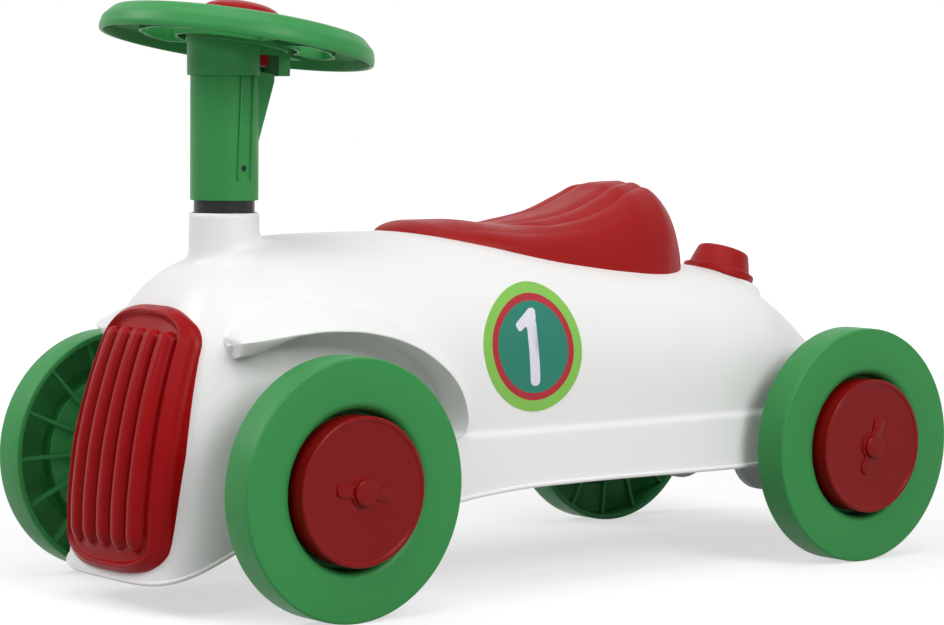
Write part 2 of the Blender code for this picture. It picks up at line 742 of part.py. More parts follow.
def make_body():
    outer = body_solid("body_outer", 0.0, 2, 8, lower_rows=True)
    wells = [well_prism("well", s, WELL_WALL_X, 0.0004) for s in (1, -1)]
    outer = cut(outer, *wells)
    wings = [ring_loft("wing", wing_rings(s, WING_THICKNESS)) for s in (1, -1)]
    neck_top = AXLE_Z + NECK_TOP_HEIGHT
    neck = rod(
        "neck",
        (0, FRONT_Y, body_top(FRONT_Y) - 0.030),
        (0, FRONT_Y, neck_top),
        NECK_BASE_DIAMETER,
        end_diameter=NECK_TOP_DIAMETER,
    )
    seat = fuel_place()
    plinth = rod(
        "plinth", seat @ Vector((0, 0, -PLINTH_DEPTH)), seat @ Vector((0, 0, 0)), PLINTH_DIAMETER
    )
    boss = rod(
        "axle_boss", (-AXLE_BOSS_X, REAR_Y, AXLE_Z), (AXLE_BOSS_X, REAR_Y, AXLE_Z), AXLE_BOSS_DIAMETER
    )
    outer = join(outer, *wings, neck, plinth, boss)

    cavity = body_solid("cavity", -BODY_WALL, 1, 7, extend=0.012)
    walls = [well_prism("well_wall", s, WELL_WALL_X - BODY_WALL, WING_THICKNESS) for s in (1, -1)]
    bosses = []
    for x, y in pan_screw_spots():
        foot = (x, y, AXLE_Z + PAN_HEIGHT + PAN_THICKNESS + TOUCH_GAP)
        bosses.append(rod("pan_boss", foot, (x, y, AXLE_Z + 0.12), BOSS_DIAMETER, SMALL_SIDES))
    plate_top = AXLE_Z + CROSS_PLATE_HEIGHT + CROSS_PLATE_THICKNESS + TOUCH_GAP
    for x in (-CROSS_SCREW_X, CROSS_SCREW_X):
        foot = (x, FRONT_Y, plate_top)
        bosses.append(rod("cross_boss", foot, (x, FRONT_Y, AXLE_Z + 0.20), BOSS_DIAMETER, SMALL_SIDES))
    cavity = cut(cavity, *walls, *bosses, plinth)
    outer = cut(outer, cavity)

    recess = FUEL_FLANGE_DIAMETER + 2 * TOUCH_GAP
    holes = [
        rod("neck_bore", (0, FRONT_Y, AXLE_Z), (0, FRONT_Y, neck_top + 0.01), bush_outer() + 2 * TOUCH_GAP),
        rod("axle_hole", (-0.13, REAR_Y, AXLE_Z), (0.13, REAR_Y, AXLE_Z), AXLE_BORE, SMALL_SIDES),
        rod(
            "fuel_hole",
            seat @ Vector((0, 0, -0.06)),
            seat @ Vector((0, 0, 0.01)),
            FUEL_PLUG_DIAMETER + 2 * TOUCH_GAP,
        ),
        rod("fuel_recess", seat @ Vector((0, 0, 0)), seat @ Vector((0, 0, 0.03)), recess),
    ]
    slot_low = AXLE_Z - 0.10
    swing = WELL_WALL_X * math.sin(STEERING_LOCK)
    slot = swing + CARRIER_ARM_DIAMETER / 2 + AXLE_SLOT_CLEARANCE
    holes.append(
        box(
            "axle_slot",
            (-BODY_X, FRONT_Y - slot, slot_low),
            (BODY_X, FRONT_Y + slot, AXLE_Z + AXLE_SLOT_HEIGHT / 2),
        )
    )
    screw_hole = SCREW_DIAMETER + 2 * TOUCH_GAP
    for x, y in pan_screw_spots():
        holes.append(rod("hole", (x, y, AXLE_Z - 0.02), (x, y, pan_screw_tip()), screw_hole, SMALL_SIDES))
    for x in (-CROSS_SCREW_X, CROSS_SCREW_X):
        low = (x, FRONT_Y, AXLE_Z + CROSS_PLATE_HEIGHT)
        holes.append(rod("hole", low, (x, FRONT_Y, cross_screw_tip()), screw_hole, SMALL_SIDES))
    for y in SEAT_SCREW_Y:
        top = body_top(y)
        holes.append(rod("hole", (0, y, top - 0.02), (0, y, top + 0.02), screw_hole, SMALL_SIDES))
    for z in GRILLE_SCREW_Z:
        holes.append(
            rod("hole", (0, FRONT_Y - 0.12, AXLE_Z + z), (0, FRONT_Y, AXLE_Z + z), screw_hole, SMALL_SIDES)
        )
    outer = cut(outer, *holes)
    add_part("body_shell", outer, make_material("white_shell", WHITE, 0.28), CHASSIS)


def bush_outer():
    return TUBE_DIAMETER + 2 * RUNNING_GAP + 2 * BUSH_WALL


def pan_screw_tip():
    return AXLE_Z + PAN_HEIGHT + PAN_THICKNESS + SCREW_BITE


def cross_screw_tip():
    return AXLE_Z + CROSS_PLATE_HEIGHT + CROSS_PLATE_THICKNESS + SCREW_BITE


def make_pan():
    inside = body_solid("pan", -BODY_WALL - TOUCH_GAP * 2, 1, 7, extend=0.012)
    low = AXLE_Z + PAN_HEIGHT
    front = FRONT_Y + PAN_FRONT
    slab = box("pan_slab", (-0.2, front, low), (0.2, REAR_Y + PAN_REAR, low + PAN_THICKNESS))
    pan = trim(inside, slab)
    brackets = []
    for side in (1, -1):
        brackets.append(axle_bracket(side * BRACKET_X))
    pan = join(pan, *brackets)
    holes = [rod("axle_hole", (-0.1, REAR_Y, AXLE_Z), (0.1, REAR_Y, AXLE_Z), AXLE_BORE, SMALL_SIDES)]
    for x, y in pan_screw_spots():
        width = SCREW_DIAMETER + 2 * TOUCH_GAP
        holes.append(rod("hole", (x, y, low - 0.01), (x, y, low + 0.02), width, SMALL_SIDES))
    pan = cut(pan, *holes)
    add_part("floor_pan", pan, make_material("white_pan", WHITE, 0.40), CHASSIS)


def axle_bracket(x):
    """Upright plate with a round foot that holds the rear axle under the pan."""
    outline = []
    centre = AXLE_Z - BRACKET_DROP
    for step in range(17):
        angle = math.pi + math.pi * step / 16
        outline.append(
            (REAR_Y + BRACKET_RADIUS * math.cos(angle), centre + BRACKET_RADIUS * math.sin(angle))
        )
    top = AXLE_Z + BRACKET_TOP
    outline.append((REAR_Y + BRACKET_RADIUS * 0.6, top))
    outline.append((REAR_Y - BRACKET_RADIUS * 0.6, top))
    axes = Matrix(((0, 0, 1, x), (1, 0, 0, 0), (0, 1, 0, 0), (0, 0, 0, 1)))
    return plate("bracket", outline, BRACKET_THICKNESS, axes)


def screw_part(name, head_spot, direction, length, finish, frame=CHASSIS):
    """Pan head screw whose head rests at head_spot, its shank along direction."""
    turn = Vector(direction).to_track_quat("-Z", "Y").to_matrix().to_4x4()
    place = Matrix.Translation(head_spot) @ turn
    head = SCREW_HEAD_DIAMETER / 2
    shank = SCREW_DIAMETER / 2
    profile = (
        (0.0, SCREW_HEAD_HEIGHT),
        (head * 0.7, SCREW_HEAD_HEIGHT),
        (head, 0.0),
        (shank, 0.0),
        (shank, -length + shank),
        (0.0, -length),
    )
    add_part(name, turned(name, profile, place, SCREW_SIDES), finish, frame)


def make_screws():
    finish = make_material("zinc_screw", STEEL, 0.35, 1.0)
    for number, (x, y) in enumerate(pan_screw_spots(), start=1):
        low = AXLE_Z + PAN_HEIGHT - TOUCH_GAP
        length = pan_screw_tip() - low - 0.001
        screw_part(f"pan_screw_{number}", (x, y, low), (0, 0, 1), length, finish)
    for side, x in (("left", CROSS_SCREW_X), ("right", -CROSS_SCREW_X)):
        low = AXLE_Z + CROSS_PLATE_HEIGHT - TOUCH_GAP
        length = cross_screw_tip() - low - 0.001
        screw_part(f"cross_plate_screw_{side}", (x, FRONT_Y, low), (0, 0, 1), length, finish)
    for name, y in zip(("front", "rear"), SEAT_SCREW_Y):
        low = seat_screw_seat(y)
        screw_part(f"seat_screw_{name}", (0, y, low), (0, 0, 1), SCREW_BITE, finish)
    for name, z in zip(("lower", "upper"), GRILLE_SCREW_Z):
        y = grille_screw_seat(z)
        screw_part(f"grille_screw_{name}", (0, y, AXLE_Z + z), (0, -1, 0), SCREW_BITE, finish)


def wall_behind(grow_y, z):
    """Y of the nose's face at a height above the axle, moved in by grow_y."""
    rows = interpolate(body_stations(), 6)
    return float(np.interp(AXLE_Z + z, rows[:40, 1], rows[:40, 0])) + grow_y


def seat_screw_seat(y):
    """Height of the washer face under the deck for a seat screw."""
    head = SCREW_HEAD_DIAMETER / 2
    lowest = min(body_top(y - head), body_top(y + head))
    return lowest - BODY_WALL - TOUCH_GAP - 0.0006


def grille_screw_seat(z):
    head = SCREW_HEAD_DIAMETER / 2
    deepest = max(wall_behind(0.0, z - head), wall_behind(0.0, z + head))
    return deepest + BODY_WALL + TOUCH_GAP + 0.0006


# Seat


def seat_sections(shrink):
    rows = []
    for top_y, top_z, edge_y, width, roundness in SEAT_STATIONS:
        edge_z = deck_height(width, edge_y) - SEAT_SINK
        rows.append((top_y, AXLE_Z + top_z, edge_y, edge_z, width, roundness))
    rows = interpolate(rows, 2)
    rows[:, :2] -= shrink * outward(rows)
    rows[:, 4] -= shrink
    sections = []
    for top_y, top_z, edge_y, edge_z, width, roundness in rows:
        width_share, depth_share = section_shares(roundness, 7)
        points = []
        for w, share in zip(width_share, depth_share):
            points.append(
                (width * w, top_y + share * (edge_y - top_y), top_z + share * (edge_z - top_z))
            )
        sections.append(points)
    return sections


def deck_height(x, y):
    """Height of the body's upper surface beside the centreline."""
    rows = interpolate(body_stations(), 6)
    middle = [np.interp(y, rows[:, 0], rows[:, k]) for k in range(rows.shape[1])]
    _, top_z, _, edge_z, width, roundness, shoulder = middle
    share = 1 - (1 - min(x / width, 0.999) ** roundness) ** (1 / roundness)
    return float(top_z + share * shoulder * (edge_z - top_z))


def make_seat():
    seat = mirrored_loft("seat_outer", seat_sections(0.0))
    hollow = mirrored_loft("seat_hollow", seat_sections(SEAT_WALL))
    bosses = []
    for y in SEAT_SCREW_Y:
        bosses.append(rod("seat_boss", (0, y, AXLE_Z), (0, y, AXLE_Z + 0.3), BOSS_DIAMETER * 1.2, SMALL_SIDES))
    hollow = cut(hollow, *bosses)
    under = body_solid("deck_cutter", TOUCH_GAP, 2, 8, lower_rows=True)
    holes = []
    for y in SEAT_SCREW_Y:
        top = seat_screw_seat(y) + SCREW_BITE + 0.001
        width = SCREW_DIAMETER + 2 * TOUCH_GAP
        holes.append(rod("hole", (0, y, AXLE_Z), (0, y, top), width, SMALL_SIDES))
    seat = cut(seat, hollow, under, *holes)
    add_part("seat", seat, make_material("red_seat", RED, 0.50), CHASSIS)


# Grille


def grille_rows(count):
    rows = interpolate(GRILLE_STATIONS, count)
    rows[:, 0] += FRONT_Y
    rows[:, 1] += AXLE_Z
    return rows


def grille_sections(depth):
    """Half sections of the grille block, each running straight back into the nose."""
    rows = grille_rows(2)
    sections = []
    for y, z, width, roundness in rows:
        width_share, depth_share = section_shares(roundness, 7)
        points = []
        for w, share in zip(width_share, depth_share):
            points.append((width * w, y + share * depth, z))
        sections.append(points)
    return sections


def grille_recess():
    """Cutter for the sunk field inside the border."""
    rows = grille_rows(2)
    normal = outward(rows)
    low, high = rows[0, 1] + GRILLE_BORDER, rows[-1, 1] - GRILLE_BORDER * 1.6
    sections = []
    for (y, z, width, _), (out_y, out_z) in zip(rows, normal):
        if low <= z <= high:
            half = width - GRILLE_BORDER
            points = []
            for w, back in ((0.0, 0.0), (0.5, 0.02), (0.85, 0.09), (1.0, 0.16)):
                sink = GRILLE_RECESS + back * 0.020
                points.append((half * w, y - sink * out_y, z - sink * out_z))
            points.append((half, y + 0.004 * out_y, z + 0.004 * out_z))
            sections.append(points)
    return mirrored_loft("grille_recess", sections)


def grille_bars():
    """Upright half-round bars that stand on the sunk field."""
    rows = grille_rows(1)
    normal = outward(rows)
    low, high = rows[0, 1] + GRILLE_BORDER * 1.7, rows[-1, 1] - GRILLE_BORDER * 2.0
    bars = []
    middle = (GRILLE_BAR_COUNT - 1) / 2
    for number in range(GRILLE_BAR_COUNT):
        place = (number - middle) / (middle + 0.62)
        rings = []
        for (y, z, width, _), (out_y, out_z) in zip(rows, normal):
            if not low <= z <= high:
                continue
            half = width - GRILLE_BORDER
            radius = half / GRILLE_BAR_COUNT * 0.80
            sag = 0.0032 * abs(place) ** 2
            ring = []
            for step in range(5):
                angle = math.pi * step / 4
                lift = radius * 0.62 * math.sin(angle) - GRILLE_RECESS - sag
                x = half * place + radius * math.cos(angle)
                ring.append((x, y + lift * out_y, z + lift * out_z))
            sink = GRILLE_RECESS + sag + 0.0015
            for x in (half * place - radius, half * place + radius):
                ring.append((x, y - sink * out_y, z - sink * out_z))
            rings.append(ring)
        bars.append(ring_loft("grille_bar", rings))
    return bars


def make_grille():
    block = mirrored_loft("grille_block", grille_sections(GRILLE_DEPTH))
    nose = body_solid("nose_cutter", TOUCH_GAP, 2, 8, lower_rows=True)
    behind = box(
        "lip_cutter",
        (-BODY_X, FRONT_Y + GRILLE_LIP_Y, 0.0),
        (BODY_X, FRONT_Y, AXLE_Z + GRILLE_LIP_Z),
    )
    block = cut(block, nose, behind, grille_recess())
    block = join(block, *grille_bars())
    holes = []
    for z in GRILLE_SCREW_Z:
        tip = grille_screw_seat(z) - SCREW_BITE - 0.001
        width = SCREW_DIAMETER + 2 * TOUCH_GAP
        holes.append(rod("hole", (0, FRONT_Y, AXLE_Z + z), (0, tip, AXLE_Z + z), width, SMALL_SIDES))
    block = cut(block, *holes)
    add_part("grille", block, make_material("red_grille", RED, 0.40), CHASSIS)


# Fuel cap and roundels


def make_fuel_cap():
    flange = FUEL_FLANGE_DIAMETER / 2
    plug = FUEL_PLUG_DIAMETER / 2
    base = TOUCH_GAP
    reach = BODY_WALL + PLINTH_DEPTH + 0.004
    profile = (
        (0.0, FUEL_BOSS_HEIGHT),
        (FUEL_BOSS_TOP_DIAMETER / 2 - 0.002, FUEL_BOSS_HEIGHT),
        (FUEL_BOSS_TOP_DIAMETER / 2, FUEL_BOSS_HEIGHT - 0.002),
        (FUEL_BOSS_BASE_DIAMETER / 2, FUEL_FLANGE_THICKNESS + 0.001),
        (flange - 0.001, FUEL_FLANGE_THICKNESS),
        (flange, FUEL_FLANGE_THICKNESS - 0.001),
        (flange, base),
        (plug, base),
        (plug, -reach),
        (plug - FUEL_WALL, -reach),
        (plug - FUEL_WALL, FUEL_FLANGE_THICKNESS),
        (0.0, FUEL_FLANGE_THICKNESS + 0.002),
    )
    cap = turned("fuel_cap", profile, fuel_place())
    add_part("fuel_cap", cap, make_material("red_cap", RED, 0.35), CHASSIS)


def roundel_outline():
    """Edge of the sticker seen from the side; its top leans back over the curved shoulder."""
    outline = []
    for step in range(WHEEL_SIDES):
        angle = 2 * math.pi * step / WHEEL_SIDES
        rise = max(math.sin(angle), 0.0)
        y = ROUNDEL_DIAMETER / 2 * math.cos(angle) + ROUNDEL_LEAN * rise**2
        outline.append((ROUNDEL_Y + y, AXLE_Z + ROUNDEL_HEIGHT + ROUNDEL_DIAMETER / 2 * math.sin(angle)))
    return outline


def make_roundel(side_name):
    """Thin sticker disc that follows the side panel."""
    side = side_of(side_name)
    axes = Matrix(((0, 0, 1, side * BODY_X), (1, 0, 0, 0), (0, 1, 0, 0), (0, 0, 0, 1)))
    disc = plate("roundel_disc", roundel_outline(), BODY_WIDTH / 2, axes)
    skin = body_solid("roundel_skin", TOUCH_GAP + ROUNDEL_THICKNESS, 2, 8, lower_rows=True)
    body = body_solid("roundel_body", TOUCH_GAP, 2, 8, lower_rows=True)
    sticker = cut(trim(skin, disc), body)
    finish = make_material(f"lime_print_{side_name}", LIME, 0.35)
    add_part(f"roundel_{side_name}", sticker, finish, CHASSIS)


# Wheels and hub caps, each turned about the world X axis


def facing_out(side, x, y):
    """Frame at a wheel whose local Z points outward along the axle."""
    turn = Matrix.Rotation(side * math.pi / 2, 4, "Y")
    return Matrix.Translation((x, y, AXLE_Z)) @ turn


def wheel_profile():
    """Section of the wheel, with z measured outward from its inner face."""
    radius = WHEEL_DIAMETER / 2
    opening = WHEEL_OPENING_DIAMETER / 2
    hub = WHEEL_HUB_DIAMETER / 2
    bore = AXLE_BORE / 2
    face = WHEEL_WIDTH
    web_out = face - WHEEL_WEB_DEPTH
    web_in = web_out - WHEEL_WEB_THICKNESS
    hub_out = web_out + 0.0055
    wall = WHEEL_WALL
    shoulder = WHEEL_SHOULDER
    ring = WHEEL_INNER_RING_DIAMETER / 2
    return (
        (bore, hub_out),
        (hub, hub_out),
        (hub, web_out),
        (opening, web_out),
        (opening, face - 0.0045),
        (opening + 0.0065, face),
        (radius - shoulder, face),
        (radius, face - shoulder),
        (radius, 0.0),
        (radius - wall, 0.0),
        (radius - wall, face - wall),
        (opening + wall, face - wall),
        (opening + wall, web_in),
        (ring, web_in),
        (ring, WHEEL_RING_BACK),
        (ring - WHEEL_RING_WALL, WHEEL_RING_BACK),
        (ring - WHEEL_RING_WALL, web_in),
        (hub, web_in),
        (hub, -WHEEL_HUB_INSET),
        (bore, -WHEEL_HUB_INSET),
    )


def wheel_rib(angle, inner, outer, low, high):
    """One radial rib at the open back of the wheel, before it is turned on its axle."""
    rib = box(
        "rib",
        (inner, -WHEEL_RIB_THICKNESS / 2, low),
        (outer, WHEEL_RIB_THICKNESS / 2, high),
    )
    rib.data.transform(Matrix.Rotation(angle, 4, "Z"))
    return rib


def latch_holes(clearance):
    """Slots in the wheel's web, or the legs that pass them."""
    shapes = []
    for number in range(CAP_LATCH_COUNT):
        low = WHEEL_WIDTH - WHEEL_WEB_DEPTH - WHEEL_WEB_THICKNESS - CAP_LATCH_REACH
        high = WHEEL_WIDTH
        half = CAP_LATCH_WIDTH / 2 + clearance
        leg = box(
            "leg",
            (CAP_LATCH_RADIUS - clearance, -half, low),
            (CAP_LATCH_RADIUS + CAP_LATCH_THICKNESS + clearance, half, high),
        )
        turn = 2 * math.pi * number / CAP_LATCH_COUNT + math.pi / WHEEL_RIB_COUNT + WHEEL_RIB_TURN
        leg.data.transform(Matrix.Rotation(turn, 4, "Z"))
        shapes.append(leg)
    return shapes


def wheel_mesh():
    wheel = turned("wheel", wheel_profile(), Matrix.Identity(4), WHEEL_SIDES, closed=True)
    web_in = WHEEL_WIDTH - WHEEL_WEB_DEPTH - WHEEL_WEB_THICKNESS
    radius = WHEEL_DIAMETER / 2
    ring_radius = WHEEL_INNER_RING_DIAMETER / 2
    ribs = []
    for number in range(WHEEL_RIB_COUNT):
        angle = 2 * math.pi * number / WHEEL_RIB_COUNT + WHEEL_RIB_TURN
        outer = radius - WHEEL_WALL + 0.0015
        ribs.append(wheel_rib(angle, ring_radius - 0.0022, outer, 0.0035, web_in + 0.0012))
    wheel = join(wheel, *ribs)
    wheel = cut(wheel, *latch_holes(TOUCH_GAP))
    return wheel


def cap_mesh():
    radius = CAP_DIAMETER / 2
    face = WHEEL_WIDTH + CAP_PROUD
    back = face - CAP_SKIRT_DEPTH
    lip = radius - CAP_LIP_WIDTH
    profile = (
        (0.0, face - CAP_LIP_DEPTH),
        (lip - 0.0006, face - CAP_LIP_DEPTH),
        (lip, face),
        (radius - 0.0016, face),
        (radius, face - 0.0016),
        (radius, back),
        (radius - CAP_WALL, back),
        (radius - CAP_WALL, face - CAP_WALL - CAP_LIP_DEPTH),
        (0.0, face - CAP_WALL - CAP_LIP_DEPTH),
    )
    cap = turned("cap", profile, Matrix.Identity(4), WHEEL_SIDES)
    top = face - CAP_LIP_DEPTH
    rise = CAP_BOSS_HEIGHT
    spinner = [rod("spinner", (0, 0, top - 0.001), (0, 0, top + rise), CAP_BOSS_DIAMETER, SMALL_SIDES * 2)]
    for side in (1, -1):
        low = Vector((0, side * CAP_LOBE_REACH, top - 0.001))
        high = Vector((0, side * CAP_LOBE_REACH, top + rise / 2))
        spinner.append(rod("lobe", low, high, CAP_LOBE_DIAMETER, SMALL_SIDES))
    legs = latch_holes(0.0)
    for leg in legs:
        for vertex in leg.data.vertices:
            if vertex.co.z > WHEEL_WIDTH - 0.001:
                vertex.co.z = face - CAP_WALL
    return join(cap, *spinner, *legs)


def place_copy(name, source, place, finish, frame):
    """A copy of a settled shape under one wheel's frame, sharing the source's mesh."""
    part = link_object(name, source.data, PARTS)
    part.parent = frame
    part.matrix_basis = parent_matrix(frame).inverted() @ place
    part.material_slots[0].link = "OBJECT"
    part.material_slots[0].material = finish


def make_wheels():
    wheel = wheel_mesh()
    cap = cap_mesh()
    for shape in (wheel, cap):
        tidy_mesh(shape)
        shape.data.shade_smooth()
        shape.data.set_sharp_from_angle(angle=math.radians(32.0))
        shape.data.materials.append(None)
    for end, y in (("front", FRONT_Y), ("rear", REAR_Y)):
        for side_name in ("left", "right"):
            side = side_of(side_name)
            tag = f"{end}_{side_name}"
            place = facing_out(side, side * WHEEL_INNER_X, y)
            if end == "rear":
                place = place @ Matrix.Rotation(REAR_CAP_TURN, 4, "Z")
            parent = STEERING if end == "front" else CHASSIS
            frame = make_frame(f"wheel_axis_{tag}", Matrix.Translation(place.translation), parent)
            green = make_material(f"green_wheel_{tag}", GREEN, 0.42)
            red = make_material(f"red_hub_cap_{tag}", RED, 0.18)
            place_copy(f"wheel_{tag}", wheel, place, green, frame)
            place_copy(f"hub_cap_{tag}", cap, place, red, frame)
    wheel.name = "wheel_pattern"
    cap.name = "cap_pattern"


def make_axles():
    steel = make_material("axle_steel", STEEL, 0.30, 1.0)
    nut_steel = make_material("push_nut_steel", STEEL, 0.35, 1.0)
    spacer_grey = make_material("spacer_plastic", GREY, 0.50)
    half = HUB_OUTER_X + PUSH_NUT_THICKNESS + AXLE_END_PROUD
    for end, y, frame in (("front", FRONT_Y, STEERING), ("rear", REAR_Y, CHASSIS)):
        shaft = rod("axle", (-half, y, AXLE_Z), (half, y, AXLE_Z), AXLE_DIAMETER, SMALL_SIDES)
        add_part(f"{end}_axle", shaft, steel, frame)
        for side_name in ("left", "right"):
            side = side_of(side_name)
            bore = AXLE_DIAMETER / 2 + TOUCH_GAP
            nut = (
                (bore, PUSH_NUT_THICKNESS),
                (PUSH_NUT_DIAMETER * 0.32, PUSH_NUT_THICKNESS),
                (PUSH_NUT_DIAMETER / 2, 0.0010),
                (PUSH_NUT_DIAMETER / 2, 0.0),
                (bore, 0.0),
            )
            place = facing_out(side, side * (HUB_OUTER_X + RUNNING_GAP), y)
            shape = turned("nut", nut, place, ROUND_SIDES // 2, closed=True)
            add_part(f"{end}_push_nut_{side_name}", shape, nut_steel, frame)
    for side_name in ("left", "right"):
        side = side_of(side_name)
        bore = AXLE_DIAMETER / 2 + TOUCH_GAP
        start = AXLE_BOSS_X + TOUCH_GAP
        length = HUB_INNER_X - RUNNING_GAP - start
        tube = (
            (bore, length),
            (SPACER_DIAMETER / 2, length),
            (SPACER_DIAMETER / 2, 0.0),
            (bore, 0.0),
        )
        place = facing_out(side, side * start, REAR_Y)
        shape = turned("spacer", tube, place, ROUND_SIDES // 2, closed=True)
        add_part(f"rear_spacer_{side_name}", shape, spacer_grey, CHASSIS)


# Steering, from the axle carrier up to the horn


def make_carrier():
    hub = rod(
        "carrier_hub",
        (0, FRONT_Y, AXLE_Z - CARRIER_ARM_DIAMETER / 2),
        (0, FRONT_Y, AXLE_Z + CARRIER_HEIGHT),
        CARRIER_HUB_DIAMETER,
    )
    reach = HUB_INNER_X - RUNNING_GAP
    arms = rod("arms", (-reach, FRONT_Y, AXLE_Z), (reach, FRONT_Y, AXLE_Z), CARRIER_ARM_DIAMETER)
    web_top = AXLE_Z + CARRIER_HEIGHT * 0.75
    half = WELL_WALL_X - BODY_WALL - 0.012
    outline = (
        (-half, AXLE_Z),
        (half, AXLE_Z),
        (CARRIER_HUB_DIAMETER / 2, web_top),
        (-CARRIER_HUB_DIAMETER / 2, web_top),
    )
    axes = Matrix(((1, 0, 0, 0), (0, 0, -1, FRONT_Y), (0, 1, 0, 0), (0, 0, 0, 1)))
    web = plate("carrier_web", outline, 0.005, axes)
    carrier = join(hub, arms, web)
    bolt_z = AXLE_Z + CARRIER_FLOOR + 0.024
    holes = (
        rod("socket", (0, FRONT_Y, AXLE_Z + CARRIER_FLOOR), (0, FRONT_Y, AXLE_Z + 0.1), TUBE_DIAMETER + 2 * TOUCH_GAP),
        rod("axle_bore", (-0.2, FRONT_Y, AXLE_Z), (0.2, FRONT_Y, AXLE_Z), AXLE_BORE, SMALL_SIDES),
        rod("bolt_hole", (0, FRONT_Y - 0.04, bolt_z), (0, FRONT_Y + 0.04, bolt_z), BOLT_DIAMETER + 2 * TOUCH_GAP, SMALL_SIDES),
    )
    carrier = cut(carrier, *holes)
    add_part("axle_carrier", carrier, make_material("carrier_grey", GREY, 0.50), STEERING)

    steel = make_material("bolt_steel", STEEL, 0.30, 1.0)
    seat_y = CARRIER_HUB_DIAMETER / 2 + TOUCH_GAP
    head = BOLT_HEAD_DIAMETER / 2
    shank = BOLT_DIAMETER / 2
    profile = (
        (0.0, BOLT_HEAD_HEIGHT),
        (head, BOLT_HEAD_HEIGHT),
        (head, 0.0),
        (shank, 0.0),
        (shank, -2 * seat_y - 0.0065),
        (0.0, -2 * seat_y - 0.0065),
    )
    turn = Vector((0, 1, 0)).to_track_quat("-Z", "Y").to_matrix().to_4x4()
    place = Matrix.Translation((0, FRONT_Y - seat_y, bolt_z)) @ turn
    add_part("carrier_bolt", turned("bolt", profile, place, SMALL_SIDES), steel, STEERING)
    nut = (
        (shank + TOUCH_GAP, 0.005),
        (head, 0.005),
        (head, 0.0),
        (shank + TOUCH_GAP, 0.0),
    )
    place = Matrix.Translation((0, FRONT_Y + seat_y, bolt_z)) @ Matrix.Rotation(-math.pi / 2, 4, "X")
    add_part("carrier_nut", turned("nut", nut, place, SMALL_SIDES, closed=True), steel, STEERING)


def make_tube():
    bottom = AXLE_Z + CARRIER_FLOOR + TOUCH_GAP
    top = AXLE_Z + COLUMN_BORE_TOP - TOUCH_GAP
    outer = rod("tube", (0, FRONT_Y, bottom), (0, FRONT_Y, top), TUBE_DIAMETER)
    bolt_z = AXLE_Z + CARRIER_FLOOR + 0.024
    holes = (
        rod("tube_bore", (0, FRONT_Y, bottom - 0.01), (0, FRONT_Y, top + 0.01), TUBE_DIAMETER - 2 * TUBE_WALL),
        rod("bolt_hole", (0, FRONT_Y - 0.04, bolt_z), (0, FRONT_Y + 0.04, bolt_z), BOLT_DIAMETER + 2 * TOUCH_GAP, SMALL_SIDES),
        rod("screw_hole", (0, FRONT_Y, column_screw_z()), (0.04, FRONT_Y, column_screw_z()), SCREW_DIAMETER + 2 * TOUCH_GAP, SMALL_SIDES),
    )
    tube = cut(outer, *holes)
    add_part("column_tube", tube, make_material("black_tube", BLACK, 0.35), STEERING)


def column_screw_z():
    return AXLE_Z + COLUMN_BOTTOM + 0.0215


def make_bushes():
    finish = make_material("black_bush", BLACK, 0.45)
    inner = TUBE_DIAMETER / 2 + RUNNING_GAP
    outer = bush_outer() / 2
    flange = BUSH_FLANGE_DIAMETER / 2
    upper = ((inner, 0.0), (outer, 0.0), (outer, -BUSH_LENGTH), (inner, -BUSH_LENGTH))
    place = Matrix.Translation((0, FRONT_Y, AXLE_Z + NECK_TOP_HEIGHT))
    add_part("steering_upper_bush", turned("bush", upper, place, closed=True), finish, CHASSIS)
    lower = (
        (inner, BUSH_FLANGE),
        (flange, BUSH_FLANGE),
        (flange, 0.0),
        (outer, 0.0),
        (outer, -CROSS_PLATE_THICKNESS - 0.003),
        (inner, -CROSS_PLATE_THICKNESS - 0.003),
    )
    top = AXLE_Z + CROSS_PLATE_HEIGHT + CROSS_PLATE_THICKNESS + TOUCH_GAP
    place = Matrix.Translation((0, FRONT_Y, top))
    add_part("steering_lower_bush", turned("bush", lower, place, closed=True), finish, CHASSIS)


def make_cross_plate():
    """Plate across the nose that carries the lower steering bush."""
    low = AXLE_Z + CROSS_PLATE_HEIGHT
    inside = body_solid("cross_plate", -BODY_WALL - TOUCH_GAP * 2, 1, 7, extend=0.012)
    half = CROSS_PLATE_LENGTH / 2
    slab = box(
        "slab",
        (-CROSS_PLATE_HALF_WIDTH, FRONT_Y - half, low),
        (CROSS_PLATE_HALF_WIDTH, FRONT_Y + half, low + CROSS_PLATE_THICKNESS),
    )
    piece = trim(slab, inside)
    width = SCREW_DIAMETER + 2 * TOUCH_GAP
    holes = [rod("bush_hole", (0, FRONT_Y, low - 0.01), (0, FRONT_Y, low + 0.02), bush_outer() + 2 * TOUCH_GAP)]
    for x in (-CROSS_SCREW_X, CROSS_SCREW_X):
        holes.append(rod("hole", (x, FRONT_Y, low - 0.01), (x, FRONT_Y, low + 0.02), width, SMALL_SIDES))
    piece = cut(piece, *holes)
    add_part("steering_cross_plate", piece, make_material("white_plate", WHITE, 0.45), CHASSIS)


def sleeve_outline(radius, half_width, reach):
    """Keyhole outline of the column head: round in front, square towards the driver."""
    outline = []
    start = math.asin(half_width / radius)
    for step in range(19):
        angle = math.pi / 2 + start + (2 * math.pi - 2 * start) * step / 18
        outline.append((radius * math.cos(angle), radius * math.sin(angle)))
    outline.append((half_width, reach))
    outline.append((-half_width, reach))
    return outline


def upright(name, outline, low, high, place):
    """Plate drawn in the place's x-y plane, standing from low to high."""
    middle = place @ Matrix.Translation((0, 0, (low + high) / 2))
    return plate(name, outline, high - low, middle)


def below_plane(height):
    """All space under a plane parallel to the steering wheel."""
    keep = box("keep", (-0.1, -0.1, -0.2), (0.1, 0.1, height))
    keep.data.transform(WHEEL_PLANE)
    return keep


